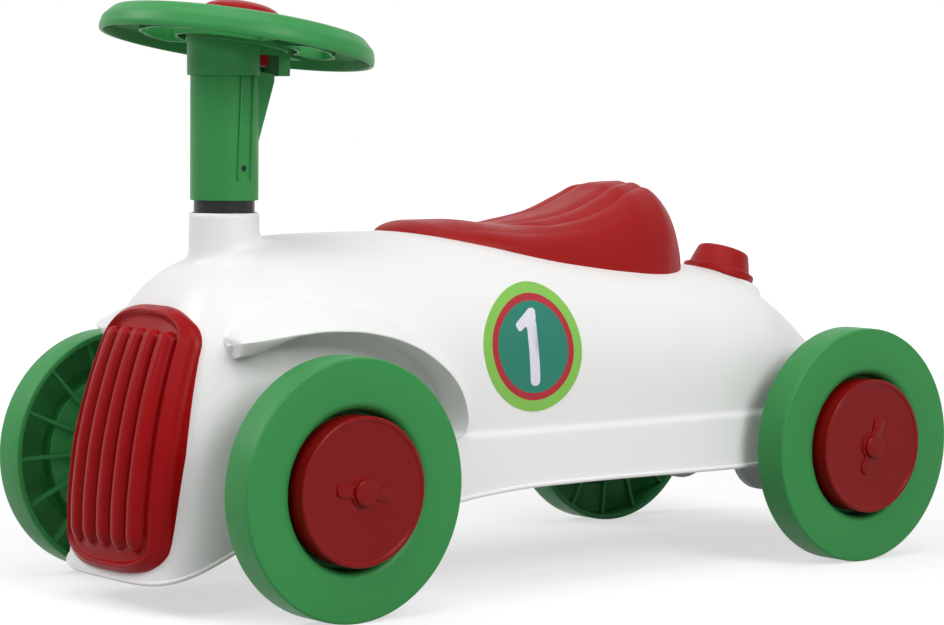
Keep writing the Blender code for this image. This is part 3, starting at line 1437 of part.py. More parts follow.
def make_column():
    centre = Matrix.Translation((0, FRONT_Y, AXLE_Z))
    radius = COLUMN_DIAMETER / 2
    round_part = rod(
        "column", (0, FRONT_Y, AXLE_Z + COLUMN_BOTTOM), (0, FRONT_Y, AXLE_Z + 0.30), COLUMN_DIAMETER
    )
    half = WEDGE_HALF_WIDTH
    outline = (
        (0.0, WEDGE_START - 0.004),
        (radius * 0.80, WEDGE_START - 0.004),
        (WEDGE_REACH, WEDGE_FULL),
        (WEDGE_REACH, 0.30),
        (0.0, 0.30),
    )
    axes = Matrix(((0, 0, 1, 0), (1, 0, 0, FRONT_Y), (0, 1, 0, AXLE_Z), (0, 0, 0, 1)))
    wedge = plate("wedge", outline, 2 * half, axes)
    ribs = []
    for side in (1, -1):
        for turn in COLUMN_RIB_TURNS:
            rib = box(
                "rib",
                (radius - 0.002, -COLUMN_RIB_WIDTH / 2, COLUMN_BOTTOM + 0.0135),
                (radius + COLUMN_RIB_PROUD, COLUMN_RIB_WIDTH / 2, WEDGE_FULL - 0.010),
            )
            about = turn if side > 0 else math.pi - turn
            rib.data.transform(centre @ Matrix.Rotation(about, 4, "Z"))
            ribs.append(rib)
    column = join(round_part, wedge, *ribs)
    column = trim(column, below_plane(HORN_LEG_END - HORN_TRAVEL - 0.0010))
    cup_low = AXLE_Z + COLUMN_BORE_TOP + COLUMN_FLOOR
    holes = (
        rod(
            "bore",
            (0, FRONT_Y, AXLE_Z + COLUMN_BOTTOM - 0.01),
            (0, FRONT_Y, AXLE_Z + COLUMN_BORE_TOP),
            TUBE_DIAMETER + 2 * TOUCH_GAP,
        ),
        rod("cup", (0, FRONT_Y, cup_low), (0, FRONT_Y, AXLE_Z + 0.31), COLUMN_CUP_DIAMETER),
        box(
            "wedge_hollow",
            (-half + 0.0025, FRONT_Y + 0.004, cup_low + 0.004),
            (half - 0.0025, FRONT_Y + WEDGE_REACH - 0.0035, AXLE_Z + 0.31),
        ),
        rod(
            "screw_hole",
            (0, FRONT_Y, column_screw_z()),
            (0.05, FRONT_Y, column_screw_z()),
            SCREW_DIAMETER + 2 * TOUCH_GAP,
            SMALL_SIDES,
        ),
    )
    column = cut(column, *holes)
    add_part("steering_column", column, make_material("green_column", GREEN, 0.42), STEERING)

    finish = make_material("black_screw", BLACK, 0.40)
    shank = SCREW_DIAMETER / 2
    profile = (
        (0.0, radius - 0.0010),
        (shank, radius - 0.0010),
        (shank, TUBE_DIAMETER / 2 - 0.006),
        (0.0, TUBE_DIAMETER / 2 - 0.008),
    )
    place = Matrix.Translation((0, FRONT_Y, column_screw_z())) @ Matrix.Rotation(math.pi / 2, 4, "Y")
    add_part("column_screw", turned("grub", profile, place, SMALL_SIDES), finish, STEERING)


def finger_opening(start, end, inner, outer, waves):
    """Outline of one opening between two spokes, its outer edge waved for fingers."""
    outline = []
    steps = 4 * waves
    for step in range(steps + 1):
        share = step / steps
        angle = start + (end - start) * share
        radius = outer - 0.0016 * (1 - math.cos(2 * math.pi * waves * share))
        outline.append((radius * math.cos(angle), radius * math.sin(angle)))
    for step in range(7):
        angle = end + (start - end) * step / 6
        outline.append((inner * math.cos(angle), inner * math.sin(angle)))
    return outline


def make_steering_wheel():
    outer = STEERING_WHEEL_DIAMETER / 2
    inner = outer - STEERING_RIM_WIDTH
    height = STEERING_RIM_HEIGHT
    hub = STEERING_HUB_DIAMETER / 2
    horn_hole = HORN_DIAMETER / 2 + RUNNING_GAP
    skin = STEERING_PLATE
    inside = horn_hole - 0.0020
    ring_low = 0.0015
    profile = (
        (inside, height + 0.0030),
        (hub, height + 0.0020),
        (hub + 0.006, height - 0.0060),
        (inner, height - 0.0055),
        (inner + 0.004, height - 0.0010),
        (inner + 0.012, height),
        (outer - 0.0085, height - 0.0015),
        (outer - 0.0020, height - 0.0080),
        (outer, 0.0030),
        (outer - 0.0004, 0.0),
        (outer - skin, 0.0),
        (outer - skin - 0.0010, height - 0.0100),
        (outer - 0.0120, height - 0.0045),
        (inner + skin + 0.002, height - 0.0040),
        (inner + skin, height - 0.0090),
        (hub, height - 0.0090),
        (hub, ring_low),
        (hub - 0.0025, ring_low),
        (hub - 0.0025, height - 0.0010),
        (inside, height),
    )
    wheel = turned("wheel", profile, WHEEL_PLANE, WHEEL_SIDES, closed=True)
    place = Matrix.Translation((0, FRONT_Y, AXLE_Z))
    around = sleeve_outline(SLEEVE_DIAMETER / 2, SLEEVE_HALF_WIDTH, SLEEVE_REACH)
    sleeve = upright("sleeve", around, SLEEVE_BOTTOM, SLEEVE_BOTTOM + 0.05, place)
    sleeve = trim(sleeve, below_plane(0.0045))
    floor = rod("hub_floor", WHEEL_PLANE @ Vector((0, 0, 0.0030)), WHEEL_PLANE @ Vector((0, 0, 0.0062)), 2 * hub - 0.0020)
    wheel = join(wheel, floor, sleeve)
    openings = []
    spoke = STEERING_SPOKE_WIDTH / 2
    gap = math.asin(spoke / inner)
    low = hub + 0.0075
    far = inner - 0.0010
    for start, end, waves in (
        (math.pi + gap, 2 * math.pi - gap, 5),
        (gap, math.pi / 2 - gap, 2),
        (math.pi / 2 + gap, math.pi - gap, 2),
    ):
        outline = finger_opening(start, end, low, far, waves)
        openings.append(upright("opening", outline, -0.02, 0.04, WHEEL_PLANE))
    wall = SLEEVE_WALL
    within = sleeve_outline(
        SLEEVE_DIAMETER / 2 - wall, SLEEVE_HALF_WIDTH - wall, SLEEVE_REACH - wall
    )
    hollow = upright("sleeve_hollow", within, SLEEVE_BOTTOM - 0.01, SLEEVE_BOTTOM + 0.05, place)
    hollow = trim(hollow, below_plane(0.0))
    well = rod("horn_well", WHEEL_PLANE @ Vector((0, 0, 0.0058)), WHEEL_PLANE @ Vector((0, 0, 0.05)), 2 * horn_hole, WHEEL_SIDES)
    bellows_hole = rod("bellows_hole", WHEEL_PLANE @ Vector((0, 0, -0.01)), WHEEL_PLANE @ Vector((0, 0, 0.02)), BELLOWS_DIAMETER + 0.002)
    window = box(
        "window",
        (-0.05, WINDOW_Y - WINDOW_WIDTH / 2, SLEEVE_BOTTOM - 0.001),
        (0.05, WINDOW_Y + WINDOW_WIDTH / 2, SLEEVE_BOTTOM + WINDOW_HEIGHT),
    )
    window.data.transform(place)
    legs = []
    for side in (1, -1):
        leg = box(
            "leg_hole",
            (side * HORN_LEG_X - HORN_LEG_WIDTH / 2 - RUNNING_GAP, HORN_LEG_FRONT - RUNNING_GAP, -0.01),
            (side * HORN_LEG_X + HORN_LEG_WIDTH / 2 + RUNNING_GAP, HORN_LEG_BACK + RUNNING_GAP, 0.02),
        )
        leg.data.transform(WHEEL_PLANE)
        legs.append(leg)
    wheel = cut(wheel, *openings, hollow, well, bellows_hole, window, *legs)
    add_part("steering_wheel", wheel, make_material("green_steering_wheel", GREEN, 0.42), STEERING)


def make_horn():
    radius = HORN_DIAMETER / 2
    wall = HORN_WALL
    profile = [(0.0, HORN_TOP)]
    rise = HORN_TOP - HORN_SHOULDER
    for step in range(1, 5):
        angle = math.pi / 2 * step / 4
        profile.append((radius * math.sin(angle), HORN_SHOULDER + rise * math.cos(angle)))
    profile.append((radius, HORN_SKIRT))
    profile.append((radius - wall, HORN_SKIRT))
    profile.append((radius - wall, HORN_SHOULDER - 0.001))
    profile.append((0.0, HORN_TOP - wall * 1.4))
    button = turned("horn", profile, WHEEL_PLANE)
    legs = []
    for side in (1, -1):
        leg = box(
            "leg",
            (side * HORN_LEG_X - HORN_LEG_WIDTH / 2, HORN_LEG_FRONT, HORN_LEG_END),
            (side * HORN_LEG_X + HORN_LEG_WIDTH / 2, HORN_LEG_BACK, HORN_SHOULDER + 0.0005),
        )
        leg.data.transform(WHEEL_PLANE)
        legs.append(leg)
    button = join(button, *legs)
    add_part("horn_button", button, make_material("red_horn", RED, 0.30), HORN)

    normal = WHEEL_PLANE.to_3x3() @ Vector((0, 0, 1))
    floor_z = AXLE_Z + COLUMN_BORE_TOP + COLUMN_FLOOR + BELLOWS_FOOT
    drop = (WHEEL_PLANE.translation.z - floor_z) / normal.z
    place = WHEEL_PLANE @ Matrix.Translation((0, 0, -drop))
    length = drop + HORN_TOP - wall * 1.4 - HORN_TRAVEL - BELLOWS_FOOT
    fold = length / BELLOWS_FOLDS
    wide = BELLOWS_DIAMETER / 2
    narrow = BELLOWS_NECK_DIAMETER / 2
    skin = BELLOWS_SKIN
    outside = [(0.003, length), (narrow, length)]
    inside = [(0.003, 0.0015)]
    for number in range(BELLOWS_FOLDS):
        outside.append((wide, length - fold * (number + 0.5)))
        outside.append((narrow, length - fold * (number + 1)))
    outside.append((0.003, 0.0))
    for number in range(BELLOWS_FOLDS):
        inside.append((narrow - skin, fold * number + 0.0015 if number == 0 else fold * number))
        inside.append((wide - skin, fold * (number + 0.5)))
    inside.append((narrow - skin, length - 0.0015))
    inside.append((0.003, length - 0.0015))
    bellows = turned("bellows", outside + inside, place, ROUND_SIDES // 2, closed=True)
    add_part("horn_bellows", bellows, make_material("bellows_white", WHITE, 0.50), STEERING)


def main():
    make_body()
    make_pan()
    make_cross_plate()
    make_bushes()
    make_seat()
    make_grille()
    make_fuel_cap()
    make_roundel("left")
    make_roundel("right")
    make_wheels()
    make_axles()
    make_carrier()
    make_tube()
    make_column()
    make_steering_wheel()
    make_horn()
    make_screws()


main()
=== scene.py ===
# %% [markdown]
# # A push car for a small child
#
# The real object is a ride-on toy, a little over sixty centimetres long. Its body is one white
# moulded shell. Round it go green wheels with glossy red caps, a red saddle, a red grille, a
# red fuel cap and a green steering wheel with a red horn button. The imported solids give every
# size and every joint. This file builds the finished look of each piece round them.

import math

import bmesh
import bpy
import numpy as np
from mathutils import Matrix, Vector
from mathutils.bvhtree import BVHTree


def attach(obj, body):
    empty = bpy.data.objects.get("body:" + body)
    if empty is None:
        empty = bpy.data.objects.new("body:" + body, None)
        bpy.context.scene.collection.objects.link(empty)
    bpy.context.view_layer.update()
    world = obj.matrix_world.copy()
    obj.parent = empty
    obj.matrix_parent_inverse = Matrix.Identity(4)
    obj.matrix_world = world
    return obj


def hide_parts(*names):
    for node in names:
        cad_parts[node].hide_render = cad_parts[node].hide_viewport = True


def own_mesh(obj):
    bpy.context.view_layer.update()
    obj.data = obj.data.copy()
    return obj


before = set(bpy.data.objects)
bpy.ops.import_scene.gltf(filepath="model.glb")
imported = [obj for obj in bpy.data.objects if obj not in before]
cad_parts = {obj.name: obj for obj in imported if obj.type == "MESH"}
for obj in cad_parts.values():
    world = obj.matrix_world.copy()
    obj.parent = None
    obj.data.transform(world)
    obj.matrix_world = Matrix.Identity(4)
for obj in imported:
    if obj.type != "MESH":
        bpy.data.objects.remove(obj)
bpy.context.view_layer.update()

# %% [markdown]
# ## The camera
#
# A photograph of a toy is taken from far away with a long lens, so that the wheels stay round.
# The place and the lens come from fitting the wheels' ellipses: the camera stands low, in front
# of the car and to its left. It is made first, so that every later piece can be looked at.

# %% Camera at the photograph's angle
def put(name, data):
    """New object for the data, linked to the scene."""
    thing = bpy.data.objects.new(name, data)
    bpy.context.scene.collection.objects.link(thing)
    return thing


CAMERA_PLACE = (1.68075, -1.37765, 0.32954)
CAMERA_TURN = 0.894241
CAMERA_RISE = 0.069978
CAMERA_ROLL = 0.008481
FOCAL_PIXELS = 3042.67
PICTURE = (944, 625)
PICTURE_CENTRE = (459.92, 317.87)
SENSOR = 36.0


def camera_matrix():
    """Camera axes from its heading, its height angle and a small roll."""
    back = Vector((
        math.sin(CAMERA_TURN) * math.cos(CAMERA_RISE),
        -math.cos(CAMERA_TURN) * math.cos(CAMERA_RISE),
        math.sin(CAMERA_RISE),
    ))
    right = Vector((0, 0, 1)).cross(back).normalized()
    up = back.cross(right)
    across = math.cos(CAMERA_ROLL) * right + math.sin(CAMERA_ROLL) * up
    above = math.cos(CAMERA_ROLL) * up - math.sin(CAMERA_ROLL) * right
    axes = Matrix((across, above, back)).transposed().to_4x4()
    return Matrix.Translation(CAMERA_PLACE) @ axes


lens = bpy.data.cameras.new("camera")
camera = put("camera", lens)
camera.matrix_world = camera_matrix()
lens.sensor_width = SENSOR
lens.lens = FOCAL_PIXELS * SENSOR / PICTURE[0]
lens.shift_x = (PICTURE[0] / 2 - PICTURE_CENTRE[0]) / PICTURE[0]
lens.shift_y = (PICTURE_CENTRE[1] - PICTURE[1] / 2) / PICTURE[0]
bpy.context.scene.camera = camera
print("lens", round(lens.lens, 1), "mm")

# %% [markdown]
# ## Making surfaces from rows of points
#
# Nearly every piece of a moulded toy is either a loft, which runs through a row of sections, or
# a turned form. Both are grids of points, so a few helpers serve them all. The loft's sections
# come from short tables of stations, with a smooth curve through them that never overshoots.

# %% Helpers: curves, grids and lofts
def smooth_rows(stations, count):
    """Rows through the stations, with count rows to each span and no overshoot."""
    table = np.array(stations, dtype=float)
    steps = np.diff(table, axis=0)
    slopes = np.zeros_like(table)
    slopes[0] = steps[0]
    slopes[-1] = steps[-1]
    total = steps[1:] + steps[:-1]
    product = steps[1:] * steps[:-1]
    same_way = product > 0
    slopes[1:-1] = np.where(same_way, 2 * product / np.where(same_way, total, 1.0), 0.0)
    rows = []
    for span in range(len(table) - 1):
        for t in np.arange(count) / count:
            start = (1 + 2 * t) * (1 - t) ** 2 * table[span] + t * (1 - t) ** 2 * slopes[span]
            end = t * t * (3 - 2 * t) * table[span + 1] - t * t * (1 - t) * slopes[span + 1]
            rows.append(start + end)
    rows.append(table[-1])
    return np.array(rows)


def ease(value, low, high):
    """Smooth step from 0 at low to 1 at high."""
    share = np.clip((np.asarray(value, dtype=float) - low) / (high - low), 0.0, 1.0)
    return share * share * (3 - 2 * share)


def new_object(name, points, faces):
    mesh = bpy.data.meshes.new(name)
    mesh.from_pydata([tuple(point) for point in points], [], faces)
    work = bmesh.new()
    work.from_mesh(mesh)
    bmesh.ops.remove_doubles(work, verts=work.verts, dist=1e-6)
    bmesh.ops.recalc_face_normals(work, faces=work.faces)
    work.to_mesh(mesh)
    work.free()
    return put(name, mesh)


def grid_faces(rows, columns, wrap=False, start=0):
    """Four-sided faces of a grid whose points are stored row after row."""
    faces = []
    across = columns if wrap else columns - 1
    for row in range(rows - 1):
        for k in range(across):
            a = start + row * columns + k
            b = start + row * columns + (k + 1) % columns
            faces.append((a, b, b + columns, a + columns))
    return faces


def edge_loop(rows, columns):
    """Numbers of the points along a grid's outer edge, once round."""
    loop = list(range(columns))
    loop += [k * columns + columns - 1 for k in range(1, rows)]
    loop += [(rows - 1) * columns + k for k in range(columns - 2, -1, -1)]
    return loop + [k * columns for k in range(rows - 2, 0, -1)]


def loop_faces(loop, other):
    """Four-sided faces between two closed loops of point numbers."""
    pairs = list(zip(loop, other))
    return [(a, b, d, c) for (a, c), (b, d) in zip(pairs, pairs[1:] + pairs[:1])]


def lofted(name, sections):
    """Closed solid through rings with the same number of points."""
    rings = np.array(sections, dtype=float)
    rows, columns = rings.shape[:2]
    faces = grid_faces(rows, columns, wrap=True)
    faces.append(tuple(range(columns)))
    faces.append(tuple(range((rows - 1) * columns, rows * columns)))
    return new_object(name, rings.reshape(-1, 3), faces)


print("three stations give", len(smooth_rows(((0.0,), (1.0,), (3.0,)), 4)), "rows")

# %% [markdown]
# Turned forms start from a drawn profile whose corners become arcs. Prisms, bricks and round
# bars are the plain blocks that the other forms are joined from and cut with.

# %% Helpers: turned forms, prisms and bars
def rounded(profile, closed=False, steps=5):
    """Corners of a drawn line, each (u, v, radius), turned into arcs."""
    line = []
    count = len(profile)
    for k, (u, v, radius) in enumerate(profile):
        here = np.array((u, v))
        ends = not closed and k in (0, count - 1)
        before = np.array(profile[k - 1][:2]) - here
        after = np.array(profile[(k + 1) % count][:2]) - here
        if ends or radius <= 0:
            line.append((u, v))
            continue
        reach_before, reach_after = np.linalg.norm(before), np.linalg.norm(after)
        before, after = before / reach_before, after / reach_after
        opening = math.acos(np.clip(before @ after, -1, 1))
        tangent = min(radius / math.tan(opening / 2), 0.48 * min(reach_before, reach_after))
        radius = tangent * math.tan(opening / 2)
        middle = here + (before + after) / np.linalg.norm(before + after) * (
            radius / math.sin(opening / 2)
        )
        first, last = here + before * tangent - middle, here + after * tangent - middle
        sweep = math.pi - opening
        for step in range(steps + 1):
            t = step / steps
            spoke = math.sin((1 - t) * sweep) * first + math.sin(t * sweep) * last
            line.append(tuple(middle + spoke / math.sin(sweep)))
    return line


def turned(name, line, sides=96, closed=False, place=None):
    """Turned form: a line of (radius, height) swept round the local Z axis."""
    points = []
    rings = []
    for radius, height in line:
        if radius < 1e-6:
            rings.append([len(points)])
            points.append((0.0, 0.0, height))
            continue
        rings.append(list(range(len(points), len(points) + sides)))
        for k in range(sides):
            angle = 2 * math.pi * k / sides
            points.append((radius * math.cos(angle), radius * math.sin(angle), height))
    faces = []
    pairs = list(zip(rings, rings[1:]))
    if closed:
        pairs.append((rings[-1], rings[0]))
    for ring, following in pairs:
        for k in range(sides):
            n = (k + 1) % sides
            corners = [ring[k % len(ring)], ring[n % len(ring)]]
            corners += [following[n % len(following)], following[k % len(following)]]
            faces.append(tuple(dict.fromkeys(corners)))
    thing = new_object(name, points, [face for face in faces if len(face) > 2])
    if place is not None:
        thing.data.transform(place)
    return thing


def lathe(name, profile, sides=96, closed=False, place=None, steps=5):
    """Turned form from a profile of (radius, height, corner radius)."""
    return turned(name, rounded(profile, closed, steps), sides, closed, place)


def plug(name, radius, low, high, sides=96, place=None):
    """Plain cylinder round the local Z axis, from low to high."""
    line = ((0, low), (radius, low), (radius, high), (0, high))
    return turned(name, line, sides, place=place)


def slab(name, outline, low, high, place=None):
    """Upright prism on a closed outline, from low to high along the local Z axis."""
    rings = [[(u, v, height) for u, v in outline] for height in (low, high)]
    thing = lofted(name, rings)
    if place is not None:
        thing.data.transform(place)
        if place.determinant() < 0:
            thing.data.flip_normals()
    return thing


def brick(name, low, high, place=None):
    corners = ((low[0], low[1]), (high[0], low[1]), (high[0], high[1]), (low[0], high[1]))
    return slab(name, corners, low[2], high[2], place)


def bar_between(name, start, end, radius, sides=48):
    """Round bar from one point to another."""
    run = Vector(end) - Vector(start)
    place = Matrix.Translation(start) @ run.to_track_quat("Z", "Y").to_matrix().to_4x4()
    return plug(name, radius, 0, run.length, sides, place)


print("a round corner takes", len(rounded(((0, 0, 0), (1, 0, 0.2), (1, 1, 0)))) - 2, "points")

# %% [markdown]
# Cutting and joining follow the way the solids were made. The exact solver keeps the surfaces
# closed. A small bevel on the edges that are left gives them the soft corner that every mould
# leaves, and that corner is what catches the light.

# %% Helpers: cut, join, bevel and hand over a piece
def settle(thing):
    """Applies the object's modifiers to its mesh."""
    bpy.context.view_layer.update()
    graph = bpy.context.evaluated_depsgraph_get()
    mesh = bpy.data.meshes.new_from_object(thing.evaluated_get(graph))
    thing.modifiers.clear()
    old = thing.data
    thing.data = mesh
    bpy.data.meshes.remove(old)
    return thing


def combine(thing, others, operation):
    for other in others:
        step = thing.modifiers.new(operation, "BOOLEAN")
        step.operation = operation
        step.solver = "EXACT"
        step.object = other
    settle(thing)
    for other in others:
        bpy.data.objects.remove(other, do_unlink=True)
    return thing


def cut(thing, *others):
    return combine(thing, others, "DIFFERENCE")


def join(thing, *others):
    return combine(thing, others, "UNION")


def trim(thing, *others):
    return combine(thing, others, "INTERSECT")


def soften(thing, width, angle=35.0, segments=2):
    """Small bevel along the edges that are sharper than the angle."""
    step = thing.modifiers.new("bevel", "BEVEL")
    step.width = width
    step.segments = segments
    step.limit_method = "ANGLE"
    step.angle_limit = math.radians(angle)
    step.use_clamp_overlap = True
    return settle(thing)


def tree_of(thing):
    """The piece's surface, ready for finding points on it."""
    work = bmesh.new()
    work.from_mesh(thing.data)
    tree = BVHTree.FromBMesh(work)
    work.free()
    return tree


def gather(name, things):
    """Several meshes kept as one object."""
    work = bmesh.new()
    for thing in things:
        work.from_mesh(thing.data)
        bpy.data.objects.remove(thing, do_unlink=True)
    mesh = bpy.data.meshes.new(name)
    work.to_mesh(mesh)
    work.free()
    return put(name, mesh)


def finish_piece(thing, name, finish, body, nodes=(), sharp=38.0):
    """Names a piece, gives it its finish, and hands it to the body it moves with."""
    thing.name = name
    thing.data.name = name
    if finish is not None:
        thing.data.materials.clear()
        thing.data.materials.append(finish)
    thing.data.shade_smooth()
    thing.data.set_sharp_from_angle(angle=math.radians(sharp))
    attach(thing, body)
    if nodes:
        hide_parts(*nodes)
    return thing


print("pieces to stand in for", len(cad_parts))

# %% [markdown]
# ## Finishes
#
# Every coloured piece is plastic with its colour mixed in, so no paint is needed. What tells a
# matte saddle from a shiny cap is how rough it is and how fine its grain is. One recipe makes
# them all: a slow cloud that shifts the colour a little, a second one that shifts the
# roughness, and a fine grain that the bump node turns into a texture that can be felt.

# %% Moulded plastic
def link(tree, source, output, target, entry):
    tree.links.new(source.outputs[output], target.inputs[entry])


def noise(tree, place, scale, detail=2.0, roughness=0.5):
    made = tree.nodes.new("ShaderNodeTexNoise")
    made.inputs["Scale"].default_value = scale
    made.inputs["Detail"].default_value = detail
    made.inputs["Roughness"].default_value = roughness
    link(tree, place, "Object", made, "Vector")
    return made


def spread(tree, source, output, low, high, start=0.3, end=0.7):
    """Stretches a noise value onto the range from low to high."""
    made = tree.nodes.new("ShaderNodeMapRange")
    made.inputs["From Min"].default_value = start
    made.inputs["From Max"].default_value = end
    made.inputs["To Min"].default_value = low
    made.inputs["To Max"].default_value = high
    link(tree, source, output, made, "Value")
    return made


def shade(colour, factor):
    return tuple(min(1.0, part * factor) for part in colour) + (1.0,)


def new_finish(name):
    """A new material with its node tree, its shader and its place on the piece."""
    made = bpy.data.materials.new(name)
    made.use_nodes = True
    tree = made.node_tree
    return made, tree, tree.nodes["Principled BSDF"], tree.nodes.new("ShaderNodeTexCoord")


def mottle(tree, cloud, colour, low, high, shader):
    """A base colour that the cloud shifts between two shades."""
    mixed = tree.nodes.new("ShaderNodeMix")
    mixed.data_type = "RGBA"
    mixed.inputs["A"].default_value = shade(colour, low)
    mixed.inputs["B"].default_value = shade(colour, high)
    link(tree, cloud, "Fac", mixed, "Factor")
    link(tree, mixed, "Result", shader, "Base Color")


def plastic(name, colour, roughness, grain=0.5, size=700.0, cloud=9.0, drift=0.05, gleam=0.3):
    """Plastic with its colour mixed in. Grain is the depth of its texture in thousandths."""
    made, tree, shader, place = new_finish(name)
    mottle(tree, noise(tree, place, cloud, 3.0), colour, 1 - drift, 1 + drift, shader)
    patch = noise(tree, place, cloud * 5.0, 4.0, 0.6)
    gloss = spread(tree, patch, "Fac", roughness * 0.85, roughness * 1.2)
    link(tree, gloss, "Result", shader, "Roughness")
    fine = noise(tree, place, size, 3.0, 0.65)
    bump = tree.nodes.new("ShaderNodeBump")
    bump.inputs["Strength"].default_value = 1.0
    bump.inputs["Distance"].default_value = grain * 0.001
    link(tree, fine, "Fac", bump, "Height")
    link(tree, bump, "Normal", shader, "Normal")
    shader.inputs["IOR"].default_value = 1.49
    shader.inputs["Specular IOR Level"].default_value = gleam
    return made


print("recipe for plastic is ready")

# %% [markdown]
# The colours are dark ones on purpose: in soft light from a white studio, a bright pigment would
# look faded. The saddle is the roughest of the red pieces, and the caps are the glossiest.

# %% The car's finishes
WHITE = (0.83, 0.83, 0.82)
GREEN = (0.034, 0.245, 0.062)
RED = (0.30, 0.007, 0.007)
white_shell = plastic("white_shell", WHITE, 0.36, grain=0.010, drift=0.010, gleam=0.35)
green_satin = plastic("green_satin", GREEN, 0.42, grain=0.018, drift=0.06, gleam=0.22)
red_saddle = plastic("red_saddle", RED, 0.42, grain=0.030, size=900.0, drift=0.06, gleam=0.14)
red_grille = plastic("red_grille", (0.30, 0.002, 0.003), 0.32, grain=0.010, drift=0.05, gleam=0.12)
red_gloss = plastic("red_gloss", (0.22, 0.005, 0.005), 0.20, grain=0.004, drift=0.05, gleam=0.12)
black_satin = plastic("black_satin", (0.012, 0.012, 0.013), 0.38, grain=0.012, drift=0.1)
grey_plain = plastic("grey_plain", (0.50, 0.51, 0.51), 0.45, grain=0.020, drift=0.05)


def metal(name, colour, roughness):
    """Zinc plate, with a fine even grain."""
    made = plastic(name, colour, roughness, grain=0.012, size=1500.0, cloud=40.0, drift=0.12)
    made.node_tree.nodes["Principled BSDF"].inputs["Metallic"].default_value = 1.0
    return made


zinc = metal("zinc", (0.62, 0.62, 0.63), 0.30)
print("finishes", len(bpy.data.materials))

# %% [markdown]
# ## The sizes that pieces share
#
# The car stands on the floor with its origin midway between the axles, its nose towards -Y and
# its left side towards +X. These are the values that the solids use too.

# %% Shared sizes
AXLE_Z = 0.085
FRONT_Y = -0.2304
REAR_Y = 0.2304
WALL = 0.003
WHEEL_INNER_X = 0.125
CREASE_Z = AXLE_Z + 0.024
CREASE_STEP = 0.0022
FLARE = 0.0035
WELL_WALL_X = 0.079
WELL_REAR = 0.1130
WELL_AHEAD = 0.08
WELL_LOW = -0.02
WELL_SPAN = 0.12
WING_ROOT_X = 0.055
WING_THICKNESS = 0.005
AXLE_BORE = 0.0053
TUBE_BORE = 0.0207
SIDES = ((1, "left"), (-1, "right"))
MIRROR = np.array((-1.0, 1.0, 1.0))


def post(name, low, high, radius, sides=72):
    """Round bar on the steering's axis, between two heights."""
    return bar_between(name, (0, FRONT_Y, low), (0, FRONT_Y, high), radius, sides)


def axle_bar(name, y, reach, radius):
    """Round bar across the car at one axle."""
    return bar_between(name, (-reach, y, AXLE_Z), (reach, y, AXLE_Z), radius)


def facing(side, x, y):
    """Place on an axle at a distance from the middle, its local Z axis pointing outwards."""
    return Matrix.Translation((side * x, y, AXLE_Z)) @ Matrix.Rotation(side * math.pi / 2, 4, "Y")


print("wheelbase", REAR_Y - FRONT_Y, "m")

# %% [markdown]
# ## The body
#
# The real body is a single shell, blown or moulded in white. Its side is nearly flat below a
# soft shoulder, and a crease runs along it with a band below that stands out a little. The
# table gives one row for each section: where the middle of the roof is, where the lower edge
# is, half the width, how square the shoulder is, and how far down the shoulder ends.

# %% Stations of the body
NOSE = (
    (-0.0906, -0.0665, -0.0316, -0.0415, 0.0750, 4.2, 0.97),
    (-0.0866, -0.0400, -0.0276, -0.0405, 0.0755, 4.2, 0.97),
    (-0.0796, 0.0050, -0.0196, -0.0400, 0.0760, 4.2, 0.97),
    (-0.0696, 0.0550, -0.0096, -0.0395, 0.0765, 4.2, 0.97),
    (-0.0576, 0.0970, 0.0024, -0.0410, 0.0775, 4.0, 0.95),
    (-0.0500, 0.1130, 0.0120, -0.0390, 0.0790, 3.6, 0.90),
    (-0.0376, 0.1285, 0.0190, -0.0380, 0.0810, 3.2, 0.85),
    (-0.0226, 0.1380, 0.0260, -0.0370, 0.0840, 2.9, 0.80),
    (-0.0046, 0.1455, 0.0340, -0.0360, 0.0870, 2.7, 0.75),
    (0.0304, 0.1540, 0.0480, -0.0340, 0.0940, 2.6, 0.68),
    (0.0654, 0.1562, 0.0740, -0.0290, 0.1000, 2.6, 0.66),
)
MIDDLE = (
    (-0.0991, 0.1566, -0.0991, -0.0180, 0.1050, 2.6, 0.65),
    (-0.0461, 0.1530, -0.0461, -0.0145, 0.1055, 2.6, 0.65),
    (0.0184, 0.1440, 0.0184, -0.0140, 0.1055, 2.6, 0.65),
    (0.0829, 0.1370, 0.0829, -0.0145, 0.1050, 2.6, 0.65),
    (0.1382, 0.1310, 0.1382, -0.0150, 0.1034, 2.6, 0.65),
)
TAIL = (
    (-0.0404, 0.1250, -0.0404, -0.0140, 0.1000, 2.4, 0.66),
    (-0.0044, 0.1120, -0.0044, -0.0120, 0.0940, 2.1, 0.72),
    (0.0316, 0.0910, 0.0200, -0.0070, 0.0825, 2.0, 0.80),
    (0.0620, 0.0665, 0.0420, 0.0000, 0.0705, 2.0, 0.88),
    (0.0850, 0.0455, 0.0610, 0.0060, 0.0585, 2.0, 0.94),
    (0.0966, 0.0280, 0.0740, 0.0110, 0.0490, 2.0, 0.97),
    (0.1011, 0.0140, 0.0800, 0.0130, 0.0430, 2.0, 0.97),
)
